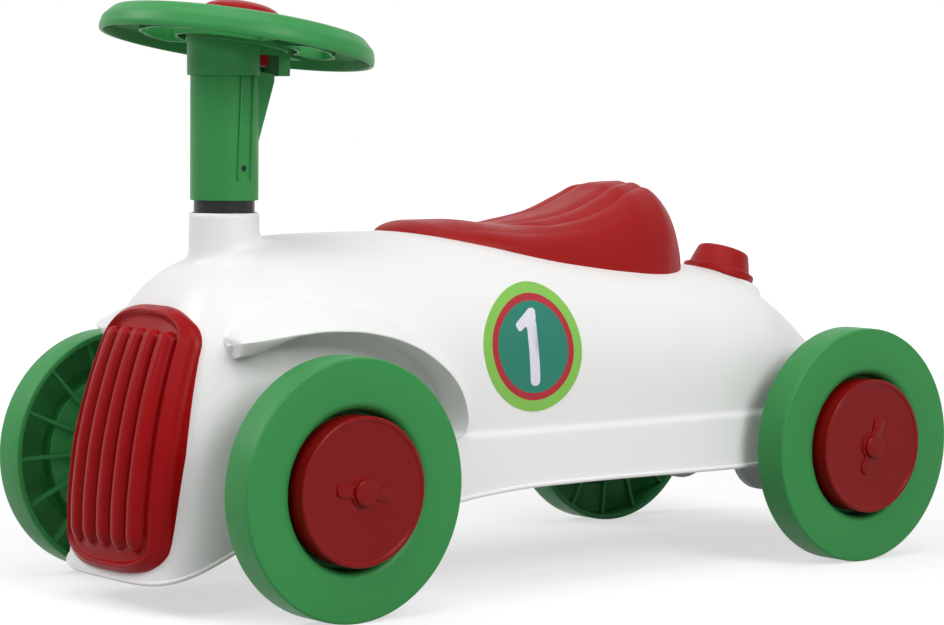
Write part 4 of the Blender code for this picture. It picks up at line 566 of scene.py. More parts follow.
WING = (
    (0.0712, -0.0418, 0.0882, -0.0408, 0.0896),
    (0.0850, -0.0434, 0.0900, -0.0420, 0.0930),
    (0.0960, -0.0400, 0.0918, -0.0380, 0.1000),
    (0.1040, -0.0300, 0.0942, -0.0250, 0.1080),
    (0.1090, -0.0120, 0.0968, -0.0100, 0.1140),
    (0.1105, 0.0072, 0.0980, 0.0080, 0.1170),
    (0.1105, 0.0309, 0.0968, 0.0310, 0.1185),
    (0.1105, 0.0553, 0.0926, 0.0560, 0.1160),
    (0.1105, 0.0784, 0.0847, 0.0810, 0.1100),
    (0.1105, 0.0926, 0.0768, 0.0970, 0.1010),
    (0.1105, 0.1070, 0.0655, 0.1120, 0.0860),
    (0.1105, 0.1157, 0.0543, 0.1215, 0.0690),
    (0.1105, 0.1201, 0.0439, 0.1270, 0.0540),
    (0.1105, 0.1217, 0.0348, 0.1295, 0.0400),
    (0.1100, 0.1203, 0.0269, 0.1300, 0.0290),
    (0.1085, 0.1118, 0.0218, 0.1290, 0.0200),
)


def body_rows(count):
    table = []
    for base, stations in ((FRONT_Y, NOSE), (0.0, MIDDLE), (REAR_Y, TAIL)):
        for top_y, top_z, edge_y, edge_z, *rest in stations:
            table.append((base + top_y, AXLE_Z + top_z, base + edge_y, AXLE_Z + edge_z, *rest))
    return smooth_rows(table, count)


print("body rows", len(body_rows(8)))

# %% [markdown]
# Each section is a superellipse over the shoulder and a straight run down the side. The crease
# needs its own close rows, because a coarse row would smear it.

# %% Sections and the closed outer form
def band(y, z, edge_z):
    """How far the side stands out below the crease."""
    presence = ease(y, FRONT_Y + 0.092, FRONT_Y + 0.110)
    below = ease(CREASE_Z - z, -0.0017, 0.0017)
    depth = np.clip((CREASE_Z - z) / np.maximum(CREASE_Z - edge_z, 0.01), 0.0, 1.0)
    return presence * (CREASE_STEP * below + FLARE * depth)


def body_section(row, crown, side):
    """Half section from the middle of the roof to the lower edge."""
    top_y, top_z, edge_y, edge_z, width, roundness, shoulder = row
    angle = np.linspace(0.0, math.pi / 2, 240)
    wide = np.sin(angle) ** (2 / roundness)
    deep = 1 - np.cos(angle) ** (2 / roundness)
    run = math.hypot(top_y - edge_y, top_z - edge_z)
    along = np.cumsum(np.hypot(np.diff(wide) * width, np.diff(deep) * shoulder * run))
    along = np.concatenate(([0.0], along))
    even = np.linspace(0.0, along[-1], crown)
    wide = np.interp(even, along, wide)
    deep = np.interp(even, along, deep) * shoulder
    crease = np.clip((top_z - CREASE_Z) / (top_z - edge_z), shoulder, 0.995)
    marks = crease + np.linspace(-0.0018, 0.0018, 7) / run
    lower = np.concatenate((np.linspace(shoulder, 1.0, side)[1:], marks))
    lower = np.sort(np.clip(lower, shoulder, 1.0))
    share = np.concatenate((deep, lower))
    x = width * np.concatenate((wide, np.ones(len(lower))))
    y = top_y + share * (edge_y - top_y)
    z = top_z + share * (edge_z - top_z)
    x = x + band(y, z, edge_z) * ease(x / width, 0.9, 0.999)
    return np.stack([x, y, z], axis=1)


def mirrored(name, sections):
    """Closed solid through half sections that run from the middle to the left edge."""
    rings = []
    for half in sections:
        rings.append(np.concatenate((half, half[:0:-1] * MIRROR)))
    return lofted(name, rings)


def outward(rows):
    """Normals of the middle line, pointing out of the body."""
    tangent = np.gradient(rows[:, :2], axis=0)
    normal = np.stack([-tangent[:, 1], tangent[:, 0]], axis=1)
    return normal / np.linalg.norm(normal, axis=1, keepdims=True)


def body_form(name, spans, crown, side, grow=0.0, extend=0.0):
    rows = body_rows(spans)
    rows[:, :2] += grow * outward(rows)
    rows[:, 4] += grow
    rows[:, 3] -= extend
    rows[0, 1] -= extend
    rows[-1, 1] -= extend
    return mirrored(name, [body_section(row, crown, side) for row in rows])


shell = body_form("body_form", 8, 44, 22)
print("outer form has", len(shell.data.polygons), "faces")

# %% [markdown]
# ### Neck and plinth, blended in
#
# The neck that holds the steering column and the round plinth under the fuel cap are one with
# the shell on the real car. A plain join would leave a hard line at each root. Instead the
# forms are turned into small voxels, which melts them into one skin. Then the points near a
# root are relaxed into a fillet, and all other points go back onto the exact form, so that the
# crease and the long highlights stay clean.

# %% Wells, neck and plinth
FUEL_PLACE = Matrix.Translation((0.0, REAR_Y - 0.0080, AXLE_Z + 0.1150)) @ Matrix.Rotation(
    math.radians(-18.0), 4, "X"
)
PLINTH_RADIUS = 0.035
PLINTH_LOW = -0.016
NECK_TOP = AXLE_Z + 0.1717
plain_tree = tree_of(shell)


def wing_edges():
    """Outer edge, direction away from the axle and inner root of the wing, row by row."""
    centre = np.array((FRONT_Y, AXLE_Z))
    edges = []
    for x, y, z, root_y, root_z in smooth_rows(WING, 6):
        low = np.array((FRONT_Y + y, AXLE_Z + z))
        away = (low - centre) / np.linalg.norm(low - centre)
        edges.append((x, low, away, np.array((FRONT_Y + root_y, AXLE_Z + root_z))))
    return edges


def well(side, inner_x, over):
    """Space of one wheel well, with the wing's underside as its roof."""
    outline = [tuple(low + away * over) for _, low, away, _ in wing_edges()]
    front, rear = outline[0], outline[-1]
    back, ahead = FRONT_Y + WELL_REAR, front[0] - WELL_AHEAD
    outline += [(back, rear[1]), (back, WELL_LOW), (ahead, WELL_LOW), (ahead, front[1])]
    axes = Matrix(((0, 0, side, 0), (1, 0, 0, 0), (0, 1, 0, 0), (0, 0, 0, 1)))
    return slab("well", outline, inner_x, inner_x + WELL_SPAN, axes)


cut(shell, well(1, WELL_WALL_X, 0.0004), well(-1, WELL_WALL_X, 0.0004))
neck = lathe(
    "neck", ((0, 0.085, 0), (0.0255, 0.085, 0), (0.0236, NECK_TOP, 0.0012), (0, NECK_TOP, 0)),
    place=Matrix.Translation((0, FRONT_Y, 0)),
)
plinth = lathe("plinth", (
    (0, PLINTH_LOW, 0), (PLINTH_RADIUS, PLINTH_LOW, 0), (PLINTH_RADIUS, 0, 0.006), (0, 0, 0),
), place=FUEL_PLACE)
added = gather("added", [neck, plinth, axle_bar("axle_boss", REAR_Y, 0.104, 0.015)])
print("added forms have", len(added.data.polygons), "faces")

# %% Melt the forms together and relax the roots
VOXEL = 0.002
FILLET = 0.0085
PLINTH_FILLET = 0.0050


def points_of(thing):
    flat = np.zeros(len(thing.data.vertices) * 3)
    thing.data.vertices.foreach_get("co", flat)
    return flat.reshape(-1, 3)


def relax(points, edges, weight, rounds, strength=0.5):
    """Moves each point towards the middle of its neighbours, as far as its weight allows."""
    count = len(points)
    degree = np.bincount(edges.ravel(), minlength=count).astype(float)
    for _ in range(rounds):
        total = np.zeros_like(points)
        for axis in range(3):
            total[:, axis] = np.bincount(edges[:, 0], points[edges[:, 1], axis], count)
            total[:, axis] += np.bincount(edges[:, 1], points[edges[:, 0], axis], count)
        middle = total / degree[:, None]
        points = points + (middle - points) * (strength * weight)[:, None]
    return points


def melt(base, extra):
    """One skin round both meshes, with a fillet where they meet."""
    base_tree, extra_tree = tree_of(base), tree_of(extra)
    skin = gather("body", [base, extra])
    step = skin.modifiers.new("voxels", "REMESH")
    step.mode = "VOXEL"
    step.voxel_size = VOXEL
    settle(skin)
    points = points_of(skin)
    edges = np.zeros(len(skin.data.edges) * 2, dtype=np.int32)
    skin.data.edges.foreach_get("vertices", edges)
    edges = edges.reshape(-1, 2)
    nearest = np.zeros_like(points)
    apart = np.zeros((len(points), 2))
    for k, point in enumerate(points):
        spot, _, _, reach = base_tree.find_nearest(point)
        other, _, _, far = extra_tree.find_nearest(point)
        nearest[k] = spot if reach < far else other
        apart[k] = reach, far
    fillet = np.where(points[:, 1] > 0.15, PLINTH_FILLET, FILLET)
    root = 1 - ease(apart.max(axis=1) / fillet, 0.45, 1.0)
    points = points * root[:, None] + nearest * (1 - root)[:, None]
    points = relax(points, edges, root, 34)
    points = relax(points, edges, np.full(len(points), 1.0), 2, 0.35)
    skin.data.vertices.foreach_set("co", points.ravel())
    skin.data.update()
    return skin


shell = melt(shell, added)
skin_tree = tree_of(shell)
print("melted skin has", len(shell.data.polygons), "faces")

# %% [markdown]
# ### Hollow it out
#
# Seen from below, the body is open: a wall about three millimetres thick, a box over each front
# wheel, and screw bosses. So the inner form is cut away, and the holes for the steering tube
# and for both axles with it. A thin bead is left along the lower edge, which stiffens the rim.

# %% Cavity, holes and the bead along the rim
AXLE_SLOT = 0.0294
BEAD_RADIUS = 0.0016
BOSS_RADIUS = 0.005


def cavity():
    inner = body_form("cavity", 3, 16, 8, grow=-WALL, extend=0.012)
    keep = [well(side, WELL_WALL_X - WALL, WING_THICKNESS) for side, _ in SIDES]
    for x in (-0.078, 0.078):
        for y in (FRONT_Y + 0.149, REAR_Y - 0.060):
            low, high = (x, y, AXLE_Z - 0.0067), (x, y, 0.205)
            keep.append(bar_between("boss", low, high, BOSS_RADIUS, 24))
    for x in (-0.056, 0.056):
        low, high = (x, FRONT_Y, AXLE_Z + 0.0703), (x, FRONT_Y, 0.285)
        keep.append(bar_between("boss", low, high, BOSS_RADIUS, 24))
    keep.append(plug("plug", PLINTH_RADIUS, PLINTH_LOW, 0, place=FUEL_PLACE))
    return cut(inner, *keep)


def rim_line():
    """Lower edge of the left half, from the middle of the nose to the middle of the tail."""
    rows = body_rows(8)
    line = list(body_section(rows[0], 30, 6))
    for row in rows[1:]:
        line.append(body_section(row, 30, 6)[-1])
    line += list(body_section(rows[-1], 30, 6)[-2::-1])
    line = np.array(line)
    ahead = line[:, 1] < FRONT_Y + WELL_REAR
    line[ahead, 0] = np.minimum(line[ahead, 0], WELL_WALL_X)
    corner = int(np.argmax(line[:, 1] > FRONT_Y + WELL_REAR))
    turn = np.array([
        (WELL_WALL_X, FRONT_Y + WELL_REAR, line[corner, 2]),
        (line[corner, 0], FRONT_Y + WELL_REAR, line[corner, 2]),
    ])
    line = np.concatenate((line[:corner], turn, line[corner:]))
    line[:, 2] += BEAD_RADIUS * 0.9
    keep = np.concatenate(([True], np.linalg.norm(np.diff(line, axis=0), axis=1) > 0.0005))
    return line[keep]


def bead(points):
    curve = bpy.data.curves.new("bead", "CURVE")
    curve.dimensions = "3D"
    curve.bevel_depth = BEAD_RADIUS
    curve.bevel_resolution = 2
    curve.use_fill_caps = True
    spline = curve.splines.new("POLY")
    spline.points.add(len(points) - 1)
    for knot, (x, y, z) in zip(spline.points, points):
        knot.co = (x, y, z, 1.0)
    drawn = put("bead", curve)
    bpy.context.view_layer.update()
    graph = bpy.context.evaluated_depsgraph_get()
    mesh = bpy.data.meshes.new_from_object(drawn.evaluated_get(graph))
    bpy.data.objects.remove(drawn, do_unlink=True)
    return put("bead", mesh)


half = rim_line()
other = half * MIRROR
slot_front = int(np.argmax(half[:, 1] > FRONT_Y - AXLE_SLOT))
slot_rear = int(np.argmax(half[:, 1] > FRONT_Y + AXLE_SLOT))
front_bead = bead(np.concatenate((other[slot_front - 1:0:-1], half[:slot_front])))
rear_bead = bead(np.concatenate((half[slot_rear:], other[-2:slot_rear - 1:-1])))
cut(shell, cavity())
join(shell, front_bead, rear_bead)
bore = post("bore", AXLE_Z, 0.30, 0.0221, 96)
axle_hole = axle_bar("axle_hole", REAR_Y, 0.13, AXLE_BORE)
slot_low = (-0.09, FRONT_Y - AXLE_SLOT, -0.02)
slot_high = (0.09, FRONT_Y + AXLE_SLOT, AXLE_Z + 0.0135)
cut(shell, bore, axle_hole, brick("axle_slot", slot_low, slot_high))
print("hollow shell has", len(shell.data.polygons), "faces")

# %% [markdown]
# ### The wings over the front wheels
#
# Over each front wheel the shell swells into a wing. Its top falls gently to a thin edge, and
# its front end hangs down in a small round bulb. Each section is laid out from the edge inwards
# to the body's side, round a fillet that widens towards the rear, and back along the underside.
# The sections then make one loft, whose inner side lies within the shell's wall.

# %% Wings
WING_LIP = 0.0011
BULB = 0.0105
WING_SHARES = np.linspace(0.0, 1.0, 11) ** 1.2
LIP_WIDTH = 0.024
LIP_CURVE = ((0.85, 0.92), (0.62, 1.0), (0.38, 0.88), (0.17, 0.55), (0.05, 0.20))
TIP_RINGS = ((0.30, 0.0013), (0.66, 0.0010), (0.90, 0.0004))


def side_at(y, z):
    """How far out the plain body comes at one place on its left side."""
    spot = plain_tree.ray_cast((0.3, y, z), (-1, 0, 0))[0]
    return spot.x if spot is not None else 0.0


def run_along(path):
    """Length of a path from its start to each of its points."""
    return np.concatenate(([0.0], np.cumsum(np.linalg.norm(np.diff(path, axis=0), axis=1))))


def rows_at(places, run, rows):
    """Rows of three values at the given places along a run."""
    return np.stack([np.interp(places, run, rows[:, k]) for k in range(3)], axis=1)


def spaced(path, shares):
    """Points at the given shares of a path's length."""
    run = run_along(path)
    return rows_at(shares * run[-1], run, path)


def wing_section(edge_x, low, away, root, fillet, drop):
    top = low + away * WING_LIP
    share = np.linspace(1.0, 0.0, 90)[:, None]
    x = WING_ROOT_X + share * (edge_x - WING_ROOT_X)
    path = np.concatenate((x, top + (root - top) * (1 - share ** 2)), axis=1)
    within = [point[0] < side_at(point[1], point[2]) for point in path]
    path = path[:max(int(np.argmax(within)), 1) + 1]
    meet = path[-1]
    length = np.linalg.norm(np.diff(path, axis=0), axis=1).sum()
    foot = min(fillet / length, 0.7)
    flat = spaced(path, WING_SHARES * (1 - foot))
    up = meet[1:] + fillet * away
    climb = np.array((side_at(*up) - 0.0001, *up))
    t = np.linspace(0.0, 1.0, 8)[1:, None]
    bend = (1 - t) ** 2 * flat[-1] + 2 * t * (1 - t) * meet + t * t * climb
    inner = min(WELL_WALL_X, side_at(*low)) - 0.0015
    lip = [(inner, *(low - away * drop * 0.7 * drop / BULB))]
    width = min(edge_x - inner, LIP_WIDTH)
    for back, depth in LIP_CURVE:
        lip.append((edge_x - back * width, *(low - away * drop * depth)))
    lip.append((edge_x, *(low + away * 0.0003)))
    return np.concatenate((flat, bend, [climb - (0.0015, 0, 0)], lip))


def wing(side):
    edges = wing_edges()
    rings = []
    for number, (edge_x, low, away, root) in enumerate(edges):
        run = number / (len(edges) - 1)
        fillet = 0.0035 + 0.0090 * ease(run, 0.45, 0.95)
        drop = BULB * (1 - ease(low[0] - FRONT_Y, -0.050, 0.000)) + 0.0003
        drop = drop * (0.55 + 0.45 * ease(number, 0.0, 5.0))
        rings.append(wing_section(edge_x, low, away, root, float(fillet), float(drop)))
    middle = rings[0].mean(axis=0)
    tip = []
    for size, ahead in TIP_RINGS:
        tip.append(middle + (rings[0] - middle) * size - (0, ahead, 0))
    rings = np.array(tip + rings)
    rings[:, :, 0] *= side
    return lofted("wing", rings)


shell = gather("body", [shell, wing(1), wing(-1)])
body = finish_piece(shell, "body", white_shell, "chassis", ["body_shell"], 50.0)
print("finished body has", len(body.data.polygons), "faces")

# %% [markdown]
# ## The number on the side
#
# A round printed film sits on each side: a lime rim, a red ring and a teal disc with a pale
# figure one. A film is thinner than paper, so it takes the body's curve exactly. Each point of
# the disc is thrown sideways onto the finished shell, and stands a fraction of a millimetre
# proud. The colours are rings of faces, so that the print has crisp edges at any distance.

# %% Roundel
ROUNDEL_RADIUS = 0.0435
ROUNDEL_Y = -0.0465
ROUNDEL_Z = AXLE_Z + 0.0803
ROUNDEL_LEAN = 0.008
FILM = 0.0004
RED_SHARE = 0.715
LIME_SHARE = 0.83
RING_SHARES = (
    0.0, 0.14, 0.28, 0.42, 0.56, 0.66, RED_SHARE, RED_SHARE, 0.77, LIME_SHARE, LIME_SHARE,
    0.92, 1.0, 1.0,
)
lime_print = plastic("lime_print", (0.215, 0.500, 0.080), 0.33, grain=0.003, drift=0.03)
red_print = plastic("red_print", (0.400, 0.018, 0.030), 0.33, grain=0.003, drift=0.03)
teal_print = plastic("teal_print", (0.015, 0.190, 0.130), 0.33, grain=0.003, drift=0.04)
pale_print = plastic("pale_print", (0.720, 0.700, 0.800), 0.33, grain=0.003, drift=0.02)


def on_side(side, u, v, proud):
    """Point of the film at u to the rear and v up from its middle, set on the shell."""
    rise = max(v / ROUNDEL_RADIUS, 0.0)
    y = ROUNDEL_Y + u + ROUNDEL_LEAN * rise ** 2
    spot, normal, _, _ = skin_tree.ray_cast((side * 0.3, y, ROUNDEL_Z + v), (-side, 0, 0))
    if normal.x * side < 0:
        normal = -normal
    return spot + normal * proud


def roundel(side, name, node):
    sides = 96
    points = []
    for number, share in enumerate(RING_SHARES):
        proud = FILM if number < len(RING_SHARES) - 1 else -0.0003
        for k in range(sides):
            angle = 2 * math.pi * k / sides
            reach = ROUNDEL_RADIUS * max(share, 0.004)
            points.append(on_side(side, reach * math.cos(angle), reach * math.sin(angle), proud))
    faces = grid_faces(len(RING_SHARES), sides, wrap=True) + [tuple(range(sides))]
    disc = new_object(name, points, faces)
    for finish in (lime_print, red_print, teal_print):
        disc.data.materials.append(finish)
    for face in disc.data.polygons:
        y, z = face.center.y - ROUNDEL_Y, face.center.z - ROUNDEL_Z
        y -= ROUNDEL_LEAN * max(z / ROUNDEL_RADIUS, 0.0) ** 2
        share = math.hypot(y, z) / ROUNDEL_RADIUS
        face.material_index = 0 if share > LIME_SHARE else (1 if share > RED_SHARE else 2)
    return finish_piece(disc, name, None, "chassis", [node], 60.0)


def figure_outline():
    """A plain rounded figure one, with a short flag, as shares of the roundel's radius."""
    corners = (
        (0.095, -0.60, 0.085), (0.095, 0.60, 0.06), (-0.03, 0.60, 0.07), (-0.34, 0.36, 0.05),
        (-0.26, 0.235, 0.05), (-0.10, 0.34, 0.03), (-0.10, -0.60, 0.085),
    )
    return rounded(corners, closed=True, steps=6)


def figure(side, name):
    """The figure reads from outside on both sides, so its flag points to the reader's left."""
    outline = figure_outline()
    top = slab("figure", outline, 0.0, 1.0)
    work = bmesh.new()
    work.from_mesh(top.data)
    bmesh.ops.triangulate(work, faces=[face for face in work.faces if len(face.verts) > 4])
    long_edges = [edge for edge in work.edges if edge.calc_length() > 0.12]
    bmesh.ops.subdivide_edges(work, edges=long_edges, cuts=3)
    bmesh.ops.triangulate(work, faces=work.faces)
    for vertex in work.verts:
        u, v, height = vertex.co
        proud = FILM + 0.00015 if height > 0.5 else FILM - 0.0003
        vertex.co = on_side(side, side * u * ROUNDEL_RADIUS, v * ROUNDEL_RADIUS, proud)
    bmesh.ops.recalc_face_normals(work, faces=work.faces)
    work.to_mesh(top.data)
    work.free()
    return finish_piece(top, name, pale_print, "chassis", (), 60.0)


for side, word in SIDES:
    roundel(side, f"roundel_film_{word}", f"roundel_{word}")
    figure(side, f"roundel_figure_{word}")
print("roundel spans", round(2 * ROUNDEL_RADIUS, 4), "m")

# %% [markdown]
# ## The grille
#
# The grille is one red moulding with a thick round border and five upright bars in a sunk
# field. It bends with the nose. Its whole front can be drawn as a height over a flat map, as
# wide as the grille and as long as its front line. So the border, the sunk field and each bar
# are plain formulas, and the map is then bent onto the nose.

# %% Grille
GRILLE = (
    (-0.0890, -0.0640, 0.0560), (-0.0935, -0.0600, 0.0575), (-0.0955, -0.0450, 0.0590),
    (-0.0951, -0.0210, 0.0600), (-0.0910, 0.0160, 0.0600), (-0.0873, 0.0350, 0.0590),
    (-0.0822, 0.0550, 0.0575), (-0.0726, 0.0840, 0.0550), (-0.0665, 0.0980, 0.0540),
    (-0.0600, 0.1085, 0.0530), (-0.0530, 0.1148, 0.0525),
)
CORNER_LOW = 0.028
CORNER_HIGH = 0.031
BORDER = 0.0110
BORDER_ROLL = 0.0040
FIELD_DEPTH = 0.0036
BAR_SPACING = 0.288
BAR_HALF = 0.130
BAR_HEIGHT = 0.0070
BAR_ENDS = (0.0098, 0.0110)
GRILLE_STEPS = 170


def grille_columns():
    """Places across the grille, closer together at its rim and beside each bar."""
    half = list(1 - np.cos(np.linspace(0.0, math.pi / 2, 9)))
    edge = [1 - 0.06 * share for share in half]
    inner = list(np.linspace(0.0, 0.94, 66))
    right = sorted(set(inner + edge))
    return np.array([-u for u in right[:0:-1]] + right)


def edge_distance(x, s, outline):
    """Distance from each map point to the grille's outline."""
    run = np.roll(outline, -1, axis=0) - outline
    square = np.maximum((run ** 2).sum(axis=1), 1e-12)
    best = np.full(x.shape, 1.0)
    for (a, b), (du, dv), length in zip(outline, run, square):
        t = np.clip(((x - a) * du + (s - b) * dv) / length, 0.0, 1.0)
        best = np.minimum(best, np.hypot(x - a - t * du, s - b - t * dv))
    return best


def corner_share(run, reach):
    """Share of the full width at a distance from one end, which rounds the two corners."""
    part = np.clip(1 - (run + 0.0003) / reach, 0.0, 1.0)
    return (1 - part ** 2.5) ** (1 / 2.5)


def grille_height(x, s, width, length, gap):
    """Height of the moulding over its map: border, sunk field and bars."""
    fall = np.clip(1 - gap / BORDER_ROLL, 0.0, 1.0)
    inward = np.clip(gap / BORDER, 0.0, 1.0)
    height = -BORDER_ROLL * (1 - np.sqrt(np.maximum(1 - fall ** 2, 0.0)))
    height = height - 0.0030 * (1 - inward) ** 2 + 0.0008 * np.exp(-((inward - 0.9) / 0.16) ** 2)
    sunk = ease(gap, BORDER - 0.0010, BORDER + 0.0026)
    low, high = BORDER + BAR_ENDS[0], length - BORDER - BAR_ENDS[1]
    radius = BAR_HALF * width
    lift = np.zeros_like(x)
    for number in range(-2, 3):
        across = (x - number * BAR_SPACING * width) / radius
        before = (low + radius * 1.6 - s) / (radius * 1.6)
        after = (s - high + radius * 0.8) / (radius * 0.8)
        along = np.clip(np.maximum(before, after), 0.0, None)
        hump = np.clip(1 - across ** 2 - along ** 2, 0.0, 1.0)
        lift = np.maximum(lift, hump ** 0.5)
    return height * (1 - sunk) + (BAR_HEIGHT * lift - FIELD_DEPTH) * sunk


print("places across the grille", len(grille_columns()))

# %% [markdown]
# The map is bent onto the nose along its front line, with its sides swept back a little. Two
# more rows run from its rim back to the shell, so that the moulding is closed.

# %% Grille, bent onto the nose
def grille_front():
    rows = smooth_rows(GRILLE, 40)
    length = run_along(rows[:, :2])
    even = length[-1] * (0.5 - 0.5 * np.cos(np.linspace(0.0, math.pi, GRILLE_STEPS)))
    even = 0.5 * np.linspace(0.0, length[-1], GRILLE_STEPS) + 0.5 * even
    rows = rows_at(even, length, rows)
    normal = outward(rows)
    full = rows[:, 2]
    width = full * corner_share(even, CORNER_LOW) * corner_share(length[-1] - even, CORNER_HIGH)
    columns = grille_columns()
    x = width[:, None] * columns[None, :]
    s = np.repeat(even[:, None], len(columns), axis=1)
    left = np.stack([width, even], axis=1)
    right = np.stack([-width[::-1], even[::-1]], axis=1)
    gap = edge_distance(x, s, np.concatenate((left, right)))
    height = grille_height(x, s, full[:, None], length[-1], gap)
    bend = 0.0080 * np.abs(x / full[:, None]) ** 3
    y = FRONT_Y + rows[:, 0][:, None] + (height - bend) * normal[:, 0][:, None]
    z = AXLE_Z + rows[:, 1][:, None] + (height - bend) * normal[:, 1][:, None]
    return np.stack([x, y, z], axis=2)


def grille():
    front = grille_front()
    rows, columns = front.shape[:2]
    points = [tuple(point) for point in front.reshape(-1, 3)]
    faces = grid_faces(rows, columns)
    loop = edge_loop(rows, columns)
    rim = [points[first] for first in loop]
    for share in (0.5, 1.0):
        behind = list(range(len(points), len(points) + len(rim)))
        for x, y, z in rim:
            spot = skin_tree.ray_cast((x, y - 0.02, z), (0, 1, 0))[0]
            deep = (spot.y if spot is not None and spot.y < y + 0.04 else y + 0.014) + 0.0012
            points.append((x, y + (deep - y) * share, z))
        faces += loop_faces(loop, behind)
        loop = behind
    middle = len(points)
    points.append((0.0, FRONT_Y - 0.052, AXLE_Z + 0.03))
    faces += [(a, b, middle) for a, b in zip(loop, loop[1:] + loop[:1])]
    return new_object("grille", points, faces)


grille_piece = finish_piece(
    grille(), "grille_moulding", red_grille, "chassis", ["grille"], 60.0
)
print("grille has", len(grille_piece.data.polygons), "faces")

# %% [markdown]
# ## The saddle
#
# The saddle is a hard red moulding that only looks padded: a nose that a child grips between
# the knees, a waist, and a raised back. Three creases on each half fan out from the waist and
# run up the back. Rows of the mesh follow them, so that each is a sharp valley between two
# soft swells, and the outermost one is faint.

# %% Saddle
SADDLE = (
    (-0.0960, 0.1500, -0.0900, 0.0160, 2.2), (-0.0920, 0.1585, -0.0800, 0.0290, 2.2),
    (-0.0740, 0.1640, -0.0680, 0.0395, 2.2), (-0.0420, 0.1640, -0.0440, 0.0505, 2.4),
    (-0.0080, 0.1608, -0.0150, 0.0575, 2.8), (0.0480, 0.1684, 0.0300, 0.0620, 2.6),
    (0.0850, 0.1822, 0.0640, 0.0640, 2.5), (0.1000, 0.1886, 0.0850, 0.0640, 2.5),
    (0.1200, 0.1896, 0.1090, 0.0620, 2.5), (0.1345, 0.1836, 0.1280, 0.0560, 2.3),
    (0.1440, 0.1640, 0.1430, 0.0450, 2.2), (0.1500, 0.1230, 0.1520, 0.0310, 2.2),
)
CREASES = (
    (-0.0650, 0.0060, 0.0120, 0.0335), (-0.0250, 0.0090, 0.0180, 0.0435),
    (0.0020, 0.0110, 0.0230, 0.0465), (0.0190, 0.0150, 0.0345, 0.0478),
    (0.0320, 0.0192, 0.0368, 0.0488), (0.0600, 0.0206, 0.0386, 0.0503),
    (0.0870, 0.0188, 0.0358, 0.0490), (0.1040, 0.0150, 0.0305, 0.0447),
    (0.1190, 0.0080, 0.0232, 0.0360), (0.1400, 0.0040, 0.0140, 0.0240),
)
CREASE_DEPTH = 0.0019
CREASE_REACH = 0.0085


def deck_height(x, y):
    spot = skin_tree.ray_cast((x, y, 0.5), (0, 0, -1))[0]
    return spot.z if spot is not None else AXLE_Z + 0.10


def crease_marks(y, width):
    """Distance of the three creases from the middle at one station."""
    table = np.array(CREASES)
    found = [float(np.interp(y, table[:, 0], table[:, k])) for k in (1, 2, 3)]
    return [min(mark, share * width) for mark, share in zip(found, (0.30, 0.58, 0.84))]


def saddle():
    table = []
    for top_y, top_z, edge_y, width, roundness in SADDLE:
        edge_z = deck_height(width, edge_y) - 0.004
        table.append((top_y, AXLE_Z + top_z, edge_y, edge_z, width, roundness))
    rows = smooth_rows(table, 9)
    grid = []
    for top_y, top_z, edge_y, edge_z, width, roundness in rows:
        marks = crease_marks(top_y + 0.1 * (edge_y - top_y), width)
        spans = [0.0] + marks
        x = np.concatenate([np.linspace(a, b, 16)[:-1] for a, b in zip(spans, marks)])
        start = math.asin((marks[-1] / width) ** (roundness / 2))
        angle = np.linspace(start, math.pi / 2, 26)
        x = np.concatenate((x, width * np.sin(angle) ** (2 / roundness)))
        wide = np.minimum(x / width, 1.0)
        deep = 1 - np.maximum(1 - wide ** roundness, 0.0) ** (1 / roundness)
        press = np.zeros_like(x)
        back = ease(top_y, -0.012, 0.012) * (1 - ease(top_y, 0.122, 0.142))
        faint = 0.35 * ease(top_y, -0.070, -0.050) * (1 - ease(top_y, 0.080, 0.108))
        for mark, share in zip(marks, (back, back, faint)):
            near = np.maximum(1 - np.abs(x - mark) / CREASE_REACH, 0.0)
            press = np.maximum(press, share * CREASE_DEPTH * near ** 1.7)
        y = top_y + deep * (edge_y - top_y)
        z = top_z + deep * (edge_z - top_z) - press
        grid.append(np.stack([x, y, z], axis=1))
    top = np.array([np.concatenate((half[:0:-1] * MIRROR, half)) for half in grid])
    rows_count, columns = top.shape[:2]
    under = top.copy()
    for r in range(rows_count):
        for c in range(columns):
            deck = deck_height(top[r, c, 0], top[r, c, 1]) - 0.0010
            under[r, c, 2] = deck
            top[r, c, 2] = max(top[r, c, 2], deck)
    points = np.concatenate((top.reshape(-1, 3), under.reshape(-1, 3)))
    shift = rows_count * columns
    faces = grid_faces(rows_count, columns)
    faces += [tuple(reversed(face)) for face in grid_faces(rows_count, columns, start=shift)]
    loop = edge_loop(rows_count, columns)
    faces += loop_faces(loop, [number + shift for number in loop])
    return new_object("saddle", points, faces)


saddle_piece = finish_piece(saddle(), "saddle", red_saddle, "chassis", ["seat"], 28.0)
print("saddle has", len(saddle_piece.data.polygons), "faces")

# %% [markdown]
# ## The fuel cap
#
# The fuel cap does not open. It is a red turned form, a flat flange with a short round boss,
# that snaps into the plinth behind the saddle. A profile with rounded corners is all it needs.

# %% Fuel cap
fuel_cap = lathe("fuel_cap", (
    (0, 0.0225, 0), (0.0190, 0.0225, 0.0042), (0.0236, 0.0068, 0.0014), (0.0272, 0.0060, 0.0012),
    (0.0272, 0.0002, 0.0004), (0.0100, 0.0002, 0), (0.0100, -0.0110, 0.001), (0, -0.0110, 0),
), place=FUEL_PLACE)
finish_piece(fuel_cap, "fuel_filler_cap", red_saddle, "chassis", ["fuel_cap"])
